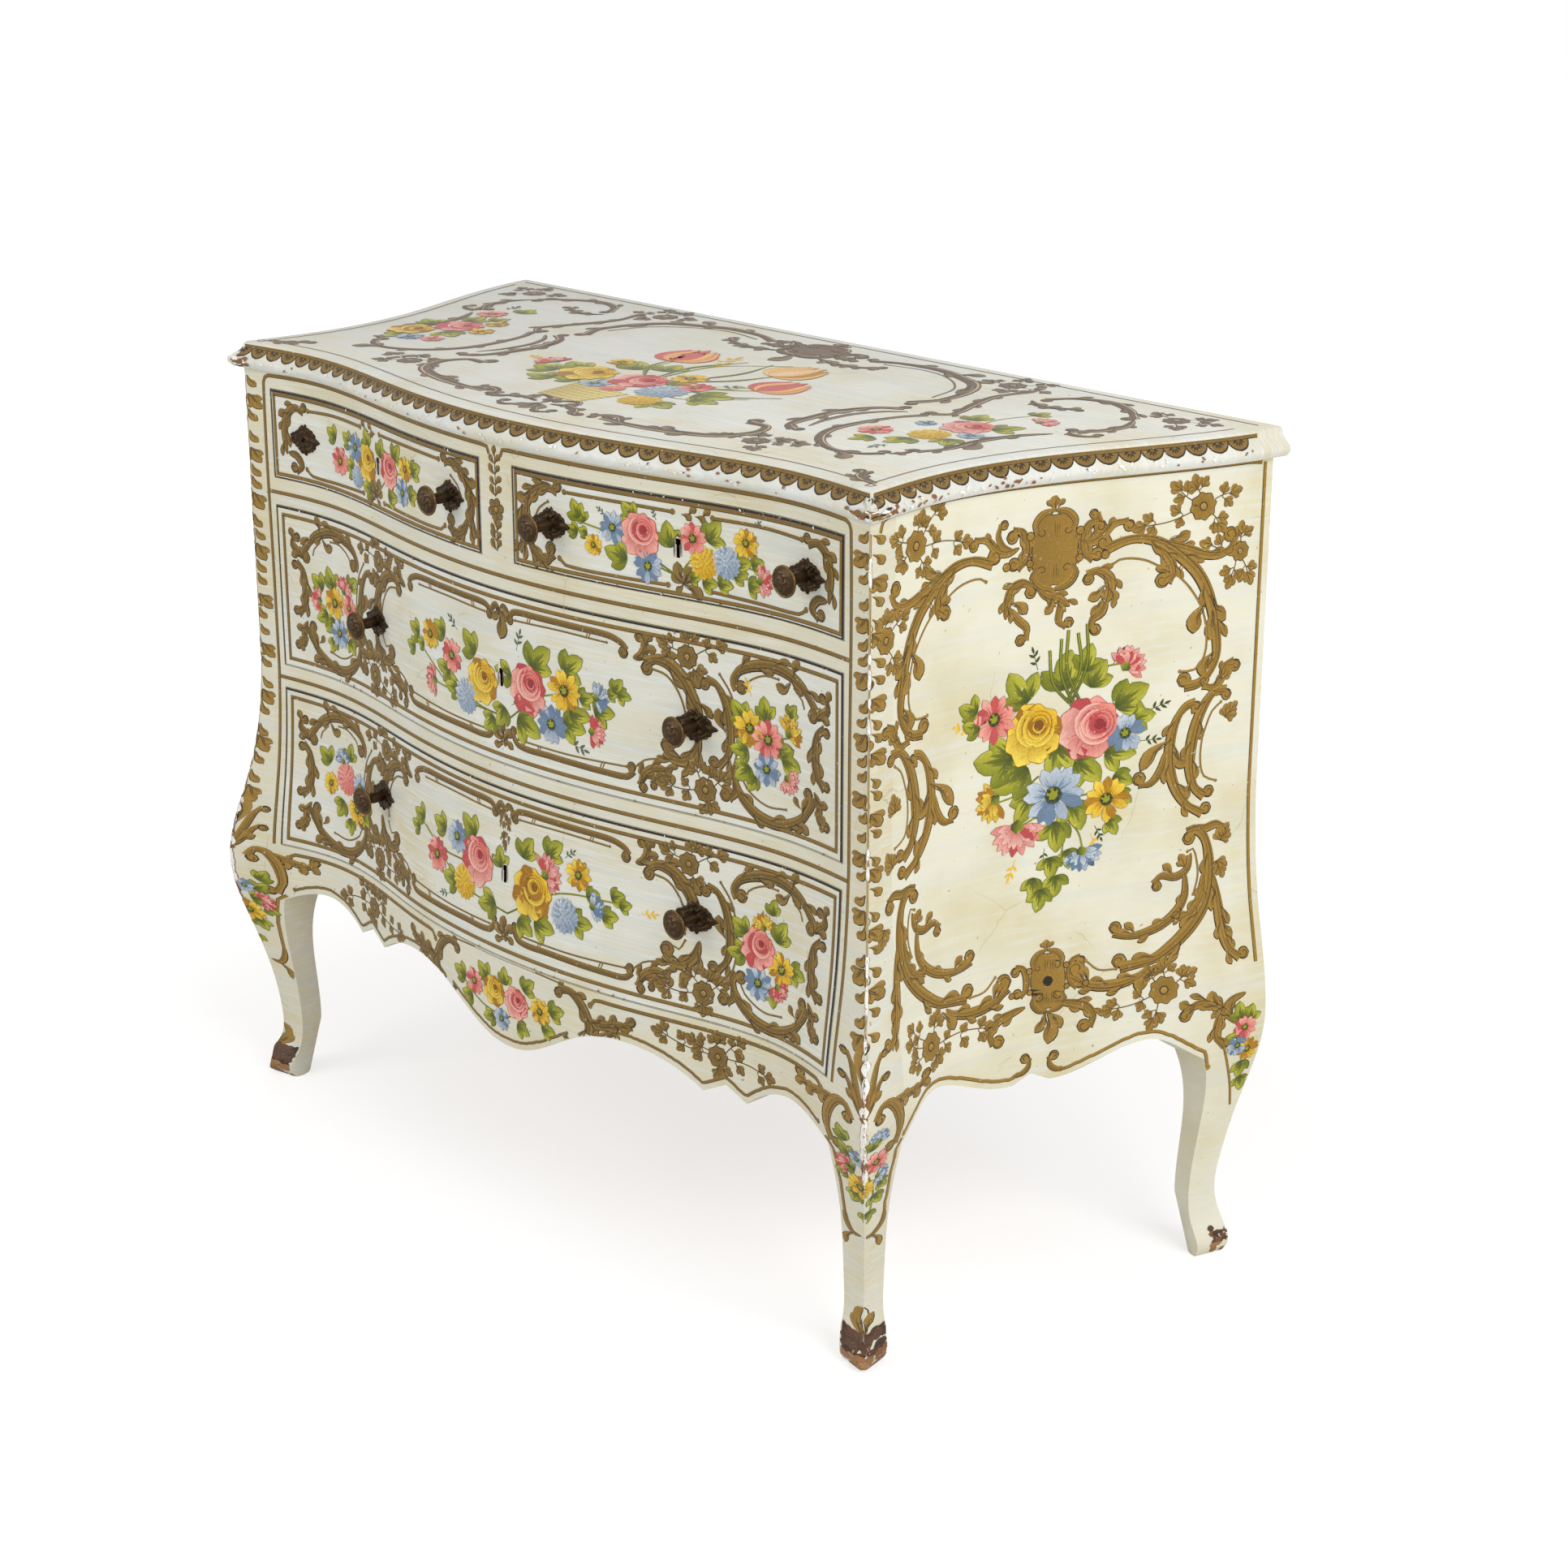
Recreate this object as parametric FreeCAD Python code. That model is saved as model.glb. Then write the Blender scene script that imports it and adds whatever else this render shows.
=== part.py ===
"""Painted serpentine bombe chest of drawers: two short drawers over two long ones, on cabriole legs.

Millimetres, +Z up. The front faces -Y. The origin lies on the floor, midway across the width and depth.
Depths are measured forward from the back edge of the top.
"""
import FreeCAD
import Part
import os

Vector = FreeCAD.Vector

# Driving dimensions of the body
HEIGHT = 880.0
TOP_THICKNESS = 28.0
NOSE_OVERHANG = 11.0
BODY_BACK = 10.0
FRONT_CORNER_X = 487.0
FRONT_CORNER_DEPTH = 476.5
FRONT_DIP_SHARE = 0.76
FRONT_DIP_SET_IN = 12.0
FRONT_BULGE = 50.0
SIDE_FLARE = 90.0
SIDE_WAIST_SET_IN = 11.0
SIDE_WAIST_BEHIND = 96.5

# Swell of the corners from waist to knee, ankle and toe, and what share of it the flat stretches take.
# The waist stands above the lowest drawer's floor, the knee and ankle at shares of that floor's height.
WAIST_RISE = 210.0
KNEE_SHARE = 0.90
KNEE_SWELL = 26.5
ANKLE_SHARE = 0.25
ANKLE_SET_IN = 1.0
TOE_Z = 13.0
TOE_OUT = 14.0
MIDDLE_SHARE = 0.35

# Corner posts and legs, with shares of the lowest drawer's floor height
POST_FACE = 38.0
BRACKET_SHARE = 0.773
LEG_WAIST = 31.0
LEG_WAIST_SHARE = 0.65
ANKLE_INSIDE = 33.5
SOLE_INSIDE = 28.0
FOOT_ROUND = 1.45
TOE_LEAN = 13.0

# Rows of the front, from the top down
TOP_RAIL_HEIGHT = 20.0
UPPER_DRAWER_HEIGHT = 101.0
UPPER_RAIL_HEIGHT = 30.0
MIDDLE_DRAWER_HEIGHT = 188.0
LOWER_RAIL_HEIGHT = 25.0
LOWER_DRAWER_HEIGHT = 188.0
STILE_WIDTH = 50.0

# Boards
SIDE_THICKNESS = 18.0
APRON_THICKNESS = 25.0
RAIL_WIDTH = 64.5
BACK_BOARD_THICKNESS = 12.0
BACK_BOARD_COUNT = 4
BACK_RAIL_THICKNESS = 25.0
BACK_RAIL_HEIGHT = 37.0
BOTTOM_BOARD_THICKNESS = 8.0
RUNNER_THICKNESS = 18.0
RUNNER_INSET = 30.0
GUIDE_HEIGHT = 22.0
GUIDE_THICKNESS = 8.0
KICKER_WIDTH = 28.0
TENON_LENGTH = 14.0
TENON_THICKNESS = 9.0
STOP_LENGTH = 44.0
STOP_HEIGHT = 6.0
STOP_DEPTH = 12.0
STOP_PLACE = 0.62

# Lower edges of the apron and of the side panels: heights as shares of the lowest drawer's floor height,
# places across as shares of half the drawer opening
DROP_SHARE = 0.667
APRON_ARCH_SHARE = 0.847
APRON_ARCH_ACROSS = 0.405
STEP_INNER_ACROSS = 0.590
STEP_NOTCH_ACROSS = 0.653
STEP_OUTER_ACROSS = 0.710
STEP_TIP_SHARE = 0.747
STEP_NOTCH_SHARE = 0.793
LEG_ARCH_ACROSS = 0.837
LEG_ARCH_SHARE = 0.837
SIDE_ARCH_SHARE = 0.877
SIDE_ARCH_INSET = 50.0
SIDE_SAG_SHARE = 0.797
SIDE_NOTCH_SHARE = 0.830
SIDE_NOTCH_HALF = 20.0

# Drawers
DRAWER_FRONT_THICKNESS = 22.0
DRAWER_SIDE_THICKNESS = 11.0
DRAWER_BOTTOM_THICKNESS = 7.0
DRAWER_BOTTOM_RAISE = 9.0
DRAWER_BACK_GAP = 5.0
DRAWER_SIDE_DROP = 8.0
DRAWER_BACK_DROP = 14.0

# Knobs, plates and locks
SHORT_KNOB_ACROSS = 0.74
LONG_KNOB_ACROSS = 0.568
KNOB_RADIUS = 15.5
KNOB_REACH = 34.0
KNOB_NECK_RADIUS = 4.6
TANG_WIDTH = 5.0
TANG_LENGTH = 12.0
PLATE_HALF_WIDTH = 27.0
PLATE_HALF_HEIGHT = 18.0
PLATE_THICKNESS = 3.0
LOWER_KNOB_RAISE = 14.0
KEYHOLE_HEAD = 6.0
KEYHOLE_SLOT = 4.0
KEYHOLE_HEIGHT = 19.0
LOCK_WIDTH = 56.0
LOCK_HEIGHT = 50.0
LOCK_DEPTH = 14.0
LOCK_COVER = 12.0
BOLT_WIDTH = 14.0
BOLT_THICKNESS = 4.0
BOLT_TAIL = 22.0
BOLT_TRAVEL = 8.0

# Clearances
DRAWER_EDGE_GAP = 1.0
DRAWER_SIDE_GAP = 1.2
GUIDE_GAP = 0.8
RUN_GAP = 0.3
STOP_GAP = 0.3
BOLT_GAP = 0.4

# Levels and places that follow from them
BODY_TOP = HEIGHT - TOP_THICKNESS
UPPER_TOP = BODY_TOP - TOP_RAIL_HEIGHT
UPPER_FLOOR = UPPER_TOP - UPPER_DRAWER_HEIGHT
MIDDLE_TOP = UPPER_FLOOR - UPPER_RAIL_HEIGHT
MIDDLE_FLOOR = MIDDLE_TOP - MIDDLE_DRAWER_HEIGHT
LOWER_TOP = MIDDLE_FLOOR - LOWER_RAIL_HEIGHT
LOWER_FLOOR = LOWER_TOP - LOWER_DRAWER_HEIGHT
WAIST_Z = LOWER_FLOOR + WAIST_RISE
KNEE_Z = LOWER_FLOOR * KNEE_SHARE
ANKLE_Z = LOWER_FLOOR * ANKLE_SHARE
BRACKET_Z = LOWER_FLOOR * BRACKET_SHARE
LEG_WAIST_Z = LOWER_FLOOR * LEG_WAIST_SHARE
DROP_Z = LOWER_FLOOR * DROP_SHARE
APRON_ARCH_Z = LOWER_FLOOR * APRON_ARCH_SHARE
STEP_TIP_Z = LOWER_FLOOR * STEP_TIP_SHARE
STEP_NOTCH_Z = LOWER_FLOOR * STEP_NOTCH_SHARE
LEG_ARCH_Z = LOWER_FLOOR * LEG_ARCH_SHARE
SIDE_ARCH_Z = LOWER_FLOOR * SIDE_ARCH_SHARE
SIDE_SAG_Z = LOWER_FLOOR * SIDE_SAG_SHARE
SIDE_NOTCH_Z = LOWER_FLOOR * SIDE_NOTCH_SHARE
BACK_CORNER_X = FRONT_CORNER_X + SIDE_FLARE
FRONT_DIP_X = FRONT_CORNER_X * FRONT_DIP_SHARE
FRONT_DIP_DEPTH = FRONT_CORNER_DEPTH - FRONT_DIP_SET_IN
FRONT_BULGE_DEPTH = FRONT_DIP_DEPTH + FRONT_BULGE
SIDE_WAIST_X = FRONT_CORNER_X - SIDE_WAIST_SET_IN
SIDE_WAIST_DEPTH = FRONT_CORNER_DEPTH - SIDE_WAIST_BEHIND
RAIL_BACK_DEPTH = FRONT_DIP_DEPTH - RAIL_WIDTH
OPENING_HALF = FRONT_CORNER_X - POST_FACE
APRON_ARCH_X = OPENING_HALF * APRON_ARCH_ACROSS
STEP_INNER_X = OPENING_HALF * STEP_INNER_ACROSS
STEP_NOTCH_X = OPENING_HALF * STEP_NOTCH_ACROSS
STEP_OUTER_X = OPENING_HALF * STEP_OUTER_ACROSS
LEG_ARCH_X = OPENING_HALF * LEG_ARCH_ACROSS
FRONT_POST_DEPTH = FRONT_CORNER_DEPTH - POST_FACE
BACK_POST_X = BACK_CORNER_X - POST_FACE
BACK_POST_DEPTH = BODY_BACK + KNEE_SWELL + POST_FACE
BACK_BOARD_FRONT = BODY_BACK + BACK_BOARD_THICKNESS
BACK_RAIL_FRONT = BACK_BOARD_FRONT + BACK_RAIL_THICKNESS
DRAWER_BACK_DEPTH = BACK_RAIL_FRONT + DRAWER_BACK_GAP
RUNNER_UNDER = LOWER_FLOOR - RUNNER_THICKNESS
BOTTOM_UNDER = RUNNER_UNDER - BOTTOM_BOARD_THICKNESS
SHORT_CENTRE = (OPENING_HALF + STILE_WIDTH / 2) / 2
SHORT_KNOB_SPREAD = (OPENING_HALF - STILE_WIDTH / 2) / 2 * SHORT_KNOB_ACROSS
LONG_KNOB_SPREAD = OPENING_HALF * LONG_KNOB_ACROSS
FAR = 1.1 * HEIGHT


def spline(points):
    """Smooth curve through points."""
    curve = Part.BSplineCurve()
    curve.interpolate([Vector(*point) for point in points])
    return curve


def mirrored(points):
    """Points of a half curve from its middle out, with the other half before them."""
    return [(-point[0],) + tuple(point[1:]) for point in reversed(points[1:])] + list(points)


def front_plan():
    """Serpentine of the front: place across, depth, and share of the corner swell."""
    bulge = FRONT_BULGE_DEPTH - FRONT_DIP_DEPTH
    kick = FRONT_CORNER_DEPTH - FRONT_DIP_DEPTH
    spread = FRONT_CORNER_X - FRONT_DIP_X
    half = [(0.0, FRONT_BULGE_DEPTH, MIDDLE_SHARE),
            (FRONT_DIP_X / 2, FRONT_DIP_DEPTH + 0.60 * bulge, MIDDLE_SHARE),
            (FRONT_DIP_X, FRONT_DIP_DEPTH, MIDDLE_SHARE),
            (FRONT_CORNER_X, FRONT_CORNER_DEPTH, 1.0),
            (FRONT_CORNER_X + 1.2 * spread, FRONT_CORNER_DEPTH + 2.0 * kick, 1.0)]
    return spline(mirrored(half))


def side_plan():
    """S-curve of a side: depth, place out from the middle, and share of the corner swell."""
    flare = BACK_CORNER_X - SIDE_WAIST_X
    run = SIDE_WAIST_DEPTH - BODY_BACK
    rest = FRONT_CORNER_DEPTH - SIDE_WAIST_DEPTH
    kick = FRONT_CORNER_X - SIDE_WAIST_X
    return spline([(FRONT_CORNER_DEPTH + 0.7 * rest, FRONT_CORNER_X + 0.7 * kick, 1.0),
                   (FRONT_CORNER_DEPTH, FRONT_CORNER_X, 1.0),
                   (SIDE_WAIST_DEPTH, SIDE_WAIST_X, MIDDLE_SHARE),
                   (SIDE_WAIST_DEPTH - 0.38 * run, SIDE_WAIST_X + 0.23 * flare, MIDDLE_SHARE),
                   (SIDE_WAIST_DEPTH - 0.70 * run, SIDE_WAIST_X + 0.69 * flare, 0.5),
                   (BODY_BACK, BACK_CORNER_X, 1.0),
                   (BODY_BACK - 0.2 * run, BACK_CORNER_X + 0.05 * flare, 1.0)])


def swell_curve():
    """Outward swell against height, from toe and ankle to knee, ending upright at the waist."""
    rise = WAIST_Z - KNEE_Z
    calf = KNEE_Z - ANKLE_Z
    kick = TOE_OUT + ANKLE_SET_IN
    foot = ANKLE_Z - TOE_Z
    points = [(TOE_OUT - 0.85 * kick, 0, -0.3 * TOE_Z),
              (TOE_OUT, 0, TOE_Z),
              (TOE_OUT - 0.70 * kick, 0, TOE_Z + 0.40 * foot),
              (-ANKLE_SET_IN, 0, ANKLE_Z),
              (0.45 * KNEE_SWELL, 0, ANKLE_Z + 0.50 * calf),
              (KNEE_SWELL, 0, KNEE_Z),
              (0.38 * KNEE_SWELL, 0, KNEE_Z + 0.50 * rise),
              (0.0, 0, WAIST_Z),
              (0.0, 0, WAIST_Z + 0.50 * rise)]
    curve = spline(points)
    curve.segment(curve.FirstParameter, curve.parameter(Vector(0, 0, WAIST_Z)))
    return curve


def moulding_steps():
    """Edge of the top from below: overhang and height at the nose, the cove and the lip."""
    return [(NOSE_OVERHANG - 4.0, BODY_TOP),
            (NOSE_OVERHANG, BODY_TOP + 0.18 * TOP_THICKNESS),
            (NOSE_OVERHANG, BODY_TOP + 0.36 * TOP_THICKNESS),
            (0.35 * NOSE_OVERHANG, BODY_TOP + 0.62 * TOP_THICKNESS),
            (0.0, BODY_TOP + 0.78 * TOP_THICKNESS),
            (0.0, BODY_TOP + 0.90 * TOP_THICKNESS),
            (-0.1 * TOP_THICKNESS, HEIGHT)]


def value_on(curve, along, axis, wanted):
    """Value of a curve's wanted coordinate where its axis coordinate, which only rises or falls, is along."""
    low, high = curve.FirstParameter, curve.LastParameter
    rising = getattr(curve.value(high), axis) > getattr(curve.value(low), axis)
    for _ in range(60):
        middle = (low + high) / 2
        if (getattr(curve.value(middle), axis) < along) == rising:
            low = middle
        else:
            high = middle
    return getattr(curve.value(low), wanted)


FRONT_PLAN = front_plan()
SIDE_PLAN = side_plan()
SWELL = swell_curve()


def front_depth(x, z):
    """Depth of the front's outer surface at a place across and a height."""
    swell = value_on(SWELL, z, "z", "x") if z < WAIST_Z else 0.0
    return value_on(FRONT_PLAN, x, "x", "y") + value_on(FRONT_PLAN, x, "x", "z") * swell


UPPER_MIDDLE = (UPPER_FLOOR + UPPER_TOP) / 2
FOREMOST = max(front_depth(SHORT_CENTRE - SHORT_KNOB_SPREAD, UPPER_MIDDLE) + KNOB_REACH,
               FRONT_BULGE_DEPTH + NOSE_OVERHANG)
BACK_EDGE_Y = FOREMOST / 2


def at(x, depth, z):
    """Point from a place across, a depth forward of the top's back edge and a height."""
    return Vector(x, BACK_EDGE_Y - depth, z)


def carried(plan, rise, place, whole=False):
    """Surface of a plan curve carried up a rise curve, with the plan's share of the rise's swell or the whole."""
    poles = [[place(low.x, low.y + (1.0 if whole else low.z) * up.x, up.z) for up in rise.getPoles()]
             for low in plan.getPoles()]
    surface = Part.BSplineSurface()
    surface.buildFromPolesMultsKnots(poles, plan.getMultiplicities(), rise.getMultiplicities(),
                                     plan.getKnots(), rise.getKnots(), False, False, plan.Degree, rise.Degree)
    return surface.toShape()


HAND = {"right": 1, "left": -1}


def front_places(along, out, z):
    """Point on the front from its place across, its depth and its height."""
    return at(along, out, z)


def side_places(hand):
    """Function for a point on a side from its depth, its place out and its height."""
    return lambda along, out, z: at(HAND[hand] * out, along, z)


def straight_skin(plan, place, z0, z1):
    """Face of a plan curve taken straight up between two heights."""
    return carried(plan, Part.LineSegment(Vector(0, 0, z0), Vector(0, 0, z1)).toBSpline(), place)


def outer_body(plan, place, shift, reach):
    """Solid of one reach from an outer face, which is straight above the waist and swells below it."""
    above = straight_skin(plan, place, WAIST_Z, HEIGHT).translated(shift).extrude(reach)
    below = carried(plan, SWELL, place).translated(shift).extrude(reach)
    return above.fuse(below)


FRONT_BODY = outer_body(FRONT_PLAN, front_places, Vector(), Vector(0, FAR, 0))
PLATE_LAYER = outer_body(FRONT_PLAN, front_places, Vector(0, -PLATE_THICKNESS, 0), Vector(0, PLATE_THICKNESS, 0))
PLATE_BODY = outer_body(FRONT_PLAN, front_places, Vector(0, -PLATE_THICKNESS, 0), Vector(0, FAR, 0))
SIDE_BODIES = {hand: outer_body(SIDE_PLAN, side_places(hand), Vector(), Vector(-side * FAR, 0, 0))
               for hand, side in HAND.items()}


def behind_straight(depth):
    """Solid behind the front's plan taken straight up and down, for the insides of the front pieces."""
    skin = straight_skin(FRONT_PLAN, front_places, -TOE_Z, HEIGHT)
    return skin.translated(Vector(0, depth, 0)).extrude(Vector(0, FAR, 0))


def inside_straight(hand, depth):
    """Solid inside a side's plan taken straight up and down, from a depth below it."""
    shift, reach = Vector(-HAND[hand] * depth, 0, 0), Vector(-HAND[hand] * 2 * FAR, 0, 0)
    heights = ((-TOE_Z, LOWER_FLOOR), (LOWER_FLOOR, HEIGHT))
    skins = [straight_skin(SIDE_PLAN, side_places(hand), z0, z1) for z0, z1 in heights]
    low, high = [skin.translated(shift).extrude(reach) for skin in skins]
    return low.fuse(high)


def block(x0, x1, depth0, depth1, z0, z1):
    """Box between places across, depths and heights."""
    low = at(min(x0, x1), max(depth0, depth1), min(z0, z1))
    return Part.makeBox(abs(x1 - x0), abs(depth1 - depth0), abs(z1 - z0), low)


def outline_solid(edges, direction):
    """Prism of a closed outline of curves."""
    return Part.Face(Part.Wire(Part.__sortEdges__(edges))).extrude(direction)


def edge(points, smooth=True):
    """One curve through points, or a straight run of lines."""
    if smooth and len(points) > 2:
        return [spline([(point.x, point.y, point.z) for point in points]).toShape()]
    return [Part.makeLine(start, end) for start, end in zip(points, points[1:])]


def leg_inside(start, sign, to_point):
    """Edges of the line behind a leg: the post's inner face, the bracket, the calf and the heel."""
    reach = sign * FAR
    post = start - sign * POST_FACE
    curve = [to_point(start - sign * SOLE_INSIDE, -TOE_Z),
             to_point(start - sign * (SOLE_INSIDE + ANKLE_INSIDE) / 2, 2 * TOE_Z),
             to_point(start - sign * ANKLE_INSIDE, ANKLE_Z),
             to_point(start - sign * LEG_WAIST, LEG_WAIST_Z),
             to_point(post, BRACKET_Z)]
    rest = [to_point(post, BRACKET_Z), to_point(post, BODY_TOP), to_point(reach, BODY_TOP),
            to_point(reach, -TOE_Z), to_point(start - sign * SOLE_INSIDE, -TOE_Z)]
    return edge(curve) + edge(rest, smooth=False)


def corner_leg(hand, front):
    """Corner post and cabriole leg in one piece, sawn to shape from two adjacent faces."""
    side = HAND[hand]
    corner_x = side * (FRONT_CORNER_X if front else BACK_CORNER_X)
    across = outline_solid(leg_inside(corner_x, side, lambda out, z: at(out, FAR, z)), Vector(0, 2 * FAR, 0))
    if front:
        inner = leg_inside(FRONT_CORNER_DEPTH, 1, lambda out, z: at(-FAR, out, z))
        outer = FRONT_BODY
    else:
        inner = leg_inside(BODY_BACK + KNEE_SWELL, -1, lambda out, z: at(-FAR, out, z))
        outer = back_limit()
    along = outline_solid(inner, Vector(2 * FAR, 0, 0))
    blank = block(0, side * FAR, -FAR, FAR, 0, BODY_TOP)
    leg = blank.common(across).common(along).common(outer).common(SIDE_BODIES[hand])
    above = leg.common(block(-FAR, FAR, -FAR, FAR, ANKLE_Z, BODY_TOP))
    below = leg.common(block(-FAR, FAR, -FAR, FAR, 0, ANKLE_Z))
    return above.fuse(below.common(round_foot(side, corner_x, front))).removeSplitter()


def round_foot(side, corner_x, front):
    """Slanting round bar that the foot is rounded to, from just round the ankle down and out to the toe."""
    sign, corner_depth = (1, FRONT_CORNER_DEPTH) if front else (-1, BODY_BACK + KNEE_SWELL)
    half = (ANKLE_INSIDE - ANKLE_SET_IN) / 2
    inset = ANKLE_SET_IN + half
    centre = at(corner_x - side * inset, corner_depth - sign * inset, ANKLE_Z)
    lean = Vector(side * TOE_LEAN, -sign * TOE_LEAN, -ANKLE_Z)
    return Part.makeCylinder(half * FOOT_ROUND, 3 * lean.Length, centre - lean, lean)


def back_limit():
    """Solid in front of the back plane that the back legs' knees come up to and their ankles stand in from."""
    points = [point for point in SWELL.discretize(Number=100) if point.z < KNEE_Z]
    curve = [at(-FAR, BODY_BACK + KNEE_SWELL - point.x, point.z) for point in points[::8]]
    curve.append(at(-FAR, BODY_BACK, KNEE_Z))
    rest = [curve[-1], at(-FAR, BODY_BACK, BODY_TOP), at(-FAR, FAR, BODY_TOP), at(-FAR, FAR, curve[0].z), curve[0]]
    return outline_solid(edge(curve) + edge(rest, smooth=False), Vector(2 * FAR, 0, 0))


def moulding_slice(low, high):
    """Slice of the top between two steps of its moulding."""
    line = Part.LineSegment(Vector(low[0], 0, low[1]), Vector(high[0], 0, high[1])).toBSpline()
    front = carried(FRONT_PLAN, line, front_places, whole=True)
    piece = block(-FAR, FAR, 0, FAR, low[1], high[1]).common(front.extrude(Vector(0, FAR, 0)))
    for hand, side in HAND.items():
        skin = carried(SIDE_PLAN, line, side_places(hand), whole=True)
        piece = piece.common(skin.extrude(Vector(-side * 2 * FAR, 0, 0)))
    return piece


def top_board():
    """Serpentine top with its moulded edge on the front and both sides, square at the back."""
    steps = moulding_steps()
    slices = [moulding_slice(low, high) for low, high in zip(steps, steps[1:])]
    return slices[0].multiFuse(slices[1:]).removeSplitter()


def side_panel(hand):
    """Side between the posts, with two arches and a small notch in its lower edge."""
    front, back = FRONT_POST_DEPTH, BACK_POST_DEPTH
    centre = (front + back) / 2
    place = lambda depth, z: at(-FAR, depth, z)
    half = SIDE_NOTCH_HALF
    edges = []
    for end, sign in ((front, 1), (back, -1)):
        arch = end - sign * SIDE_ARCH_INSET
        edges += edge([place(end, BRACKET_Z), place((end + arch) / 2, 0.55 * SIDE_ARCH_Z + 0.45 * BRACKET_Z),
                       place(arch, SIDE_ARCH_Z), place((arch + centre) / 2, 0.4 * SIDE_ARCH_Z + 0.6 * SIDE_SAG_Z),
                       place(centre + sign * half, SIDE_SAG_Z)])
        edges += edge([place(centre + sign * half, SIDE_SAG_Z), place(centre, SIDE_NOTCH_Z)])
    edges += edge([place(front, BRACKET_Z), place(front, BODY_TOP), place(back, BODY_TOP),
                   place(back, BRACKET_Z)], smooth=False)
    panel = SIDE_BODIES[hand].common(outline_solid(edges, Vector(2 * FAR, 0, 0)))
    return panel.cut(inside_straight(hand, SIDE_THICKNESS))


def front_apron():
    """Apron below the lower drawer: a hanging drop in the middle, a zigzag step and an arch at each leg."""
    place = lambda x, z: at(x, FAR, z)
    edges = []
    for side in HAND.values():
        rise = APRON_ARCH_Z - DROP_Z
        edges += edge([place(side * STEP_INNER_X, STEP_TIP_Z),
                       place(side * (STEP_INNER_X + APRON_ARCH_X) / 2, 0.7 * APRON_ARCH_Z + 0.3 * STEP_TIP_Z),
                       place(side * APRON_ARCH_X, APRON_ARCH_Z),
                       place(side * APRON_ARCH_X * 0.66, DROP_Z + 0.87 * rise),
                       place(side * APRON_ARCH_X * 0.41, DROP_Z + 0.46 * rise),
                       place(side * APRON_ARCH_X * 0.22, DROP_Z + 0.14 * rise),
                       place(0, DROP_Z)])
        edges += edge([place(side * STEP_INNER_X, STEP_TIP_Z), place(side * STEP_NOTCH_X, STEP_NOTCH_Z),
                       place(side * STEP_OUTER_X, STEP_TIP_Z)], smooth=False)
        edges += edge([place(side * STEP_OUTER_X, STEP_TIP_Z),
                       place(side * (STEP_OUTER_X + LEG_ARCH_X) / 2, 0.7 * LEG_ARCH_Z + 0.3 * STEP_TIP_Z),
                       place(side * LEG_ARCH_X, LEG_ARCH_Z),
                       place(side * (LEG_ARCH_X + OPENING_HALF) / 2, 0.75 * LEG_ARCH_Z + 0.25 * BRACKET_Z),
                       place(side * OPENING_HALF, BRACKET_Z)])
        edges += edge([place(side * OPENING_HALF, BRACKET_Z), place(side * OPENING_HALF, LOWER_FLOOR)])
    edges += edge([place(-OPENING_HALF, LOWER_FLOOR), place(OPENING_HALF, LOWER_FLOOR)])
    apron = FRONT_BODY.common(outline_solid(edges, Vector(0, 2 * FAR, 0)))
    return apron.cut(behind_straight(APRON_THICKNESS))


def rail_tenon(side, z0, z1):
    """Tenon at one end of a rail, let into the post."""
    middle = (FRONT_POST_DEPTH + FRONT_CORNER_DEPTH) / 2 - KNEE_SWELL / 4
    return block(side * OPENING_HALF, side * (OPENING_HALF + TENON_LENGTH),
                 middle - TENON_THICKNESS / 2, middle + TENON_THICKNESS / 2, z0, z1)


def front_rail(z0, z1):
    """Rail between the front posts, its front edge sawn to the serpentine, with a tenon at each end."""
    rail = block(-OPENING_HALF, OPENING_HALF, RAIL_BACK_DEPTH, FAR, z0, z1).common(FRONT_BODY)
    for side in HAND.values():
        rail = rail.fuse(rail_tenon(side, z0, z1))
    return rail.removeSplitter()


def drawer_divider():
    """Stile between the two short drawers."""
    half = STILE_WIDTH / 2
    return block(-half, half, RAIL_BACK_DEPTH, FAR, UPPER_FLOOR, UPPER_TOP).common(FRONT_BODY)


def clear_of_posts(shape):
    """Shape less the room that the corner posts take."""
    for side in HAND.values():
        shape = shape.cut(block(side * OPENING_HALF, side * FAR, FRONT_POST_DEPTH, FAR, 0, BODY_TOP))
        shape = shape.cut(block(side * BACK_POST_X, side * FAR, 0, BACK_POST_DEPTH, 0, BODY_TOP))
    return shape


def runners(floor, front_depth_limit, front_shape, back_depth, middle=False):
    """Runners that carry a row's drawers, each with the guide that keeps the drawer straight."""
    solids = []
    for hand, side in HAND.items():
        guide = OPENING_HALF - DRAWER_SIDE_GAP + GUIDE_GAP
        strip = block(side * (OPENING_HALF - RUNNER_INSET), side * FAR, back_depth, front_depth_limit,
                      floor - RUNNER_THICKNESS, floor)
        strip = strip.fuse(block(side * guide, side * (guide + GUIDE_THICKNESS), back_depth,
                                 min(front_depth_limit, RAIL_BACK_DEPTH), floor, floor + GUIDE_HEIGHT))
        strip = strip.common(inside_straight(hand, SIDE_THICKNESS))
        solids.append(clear_of_posts(strip).removeSplitter())
    if middle:
        half = STILE_WIDTH / 2
        strip = block(-half - RUNNER_INSET, half + RUNNER_INSET, back_depth, front_depth_limit,
                      floor - RUNNER_THICKNESS, floor)
        guide = half + DRAWER_SIDE_GAP - GUIDE_GAP
        strip = strip.fuse(block(-guide, guide, back_depth, front_depth_limit, floor, floor + GUIDE_HEIGHT))
        solids.append(strip.removeSplitter())
    if front_shape:
        solids = [solid.common(front_shape) for solid in solids]
    return Part.makeCompound(solids)


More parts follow.
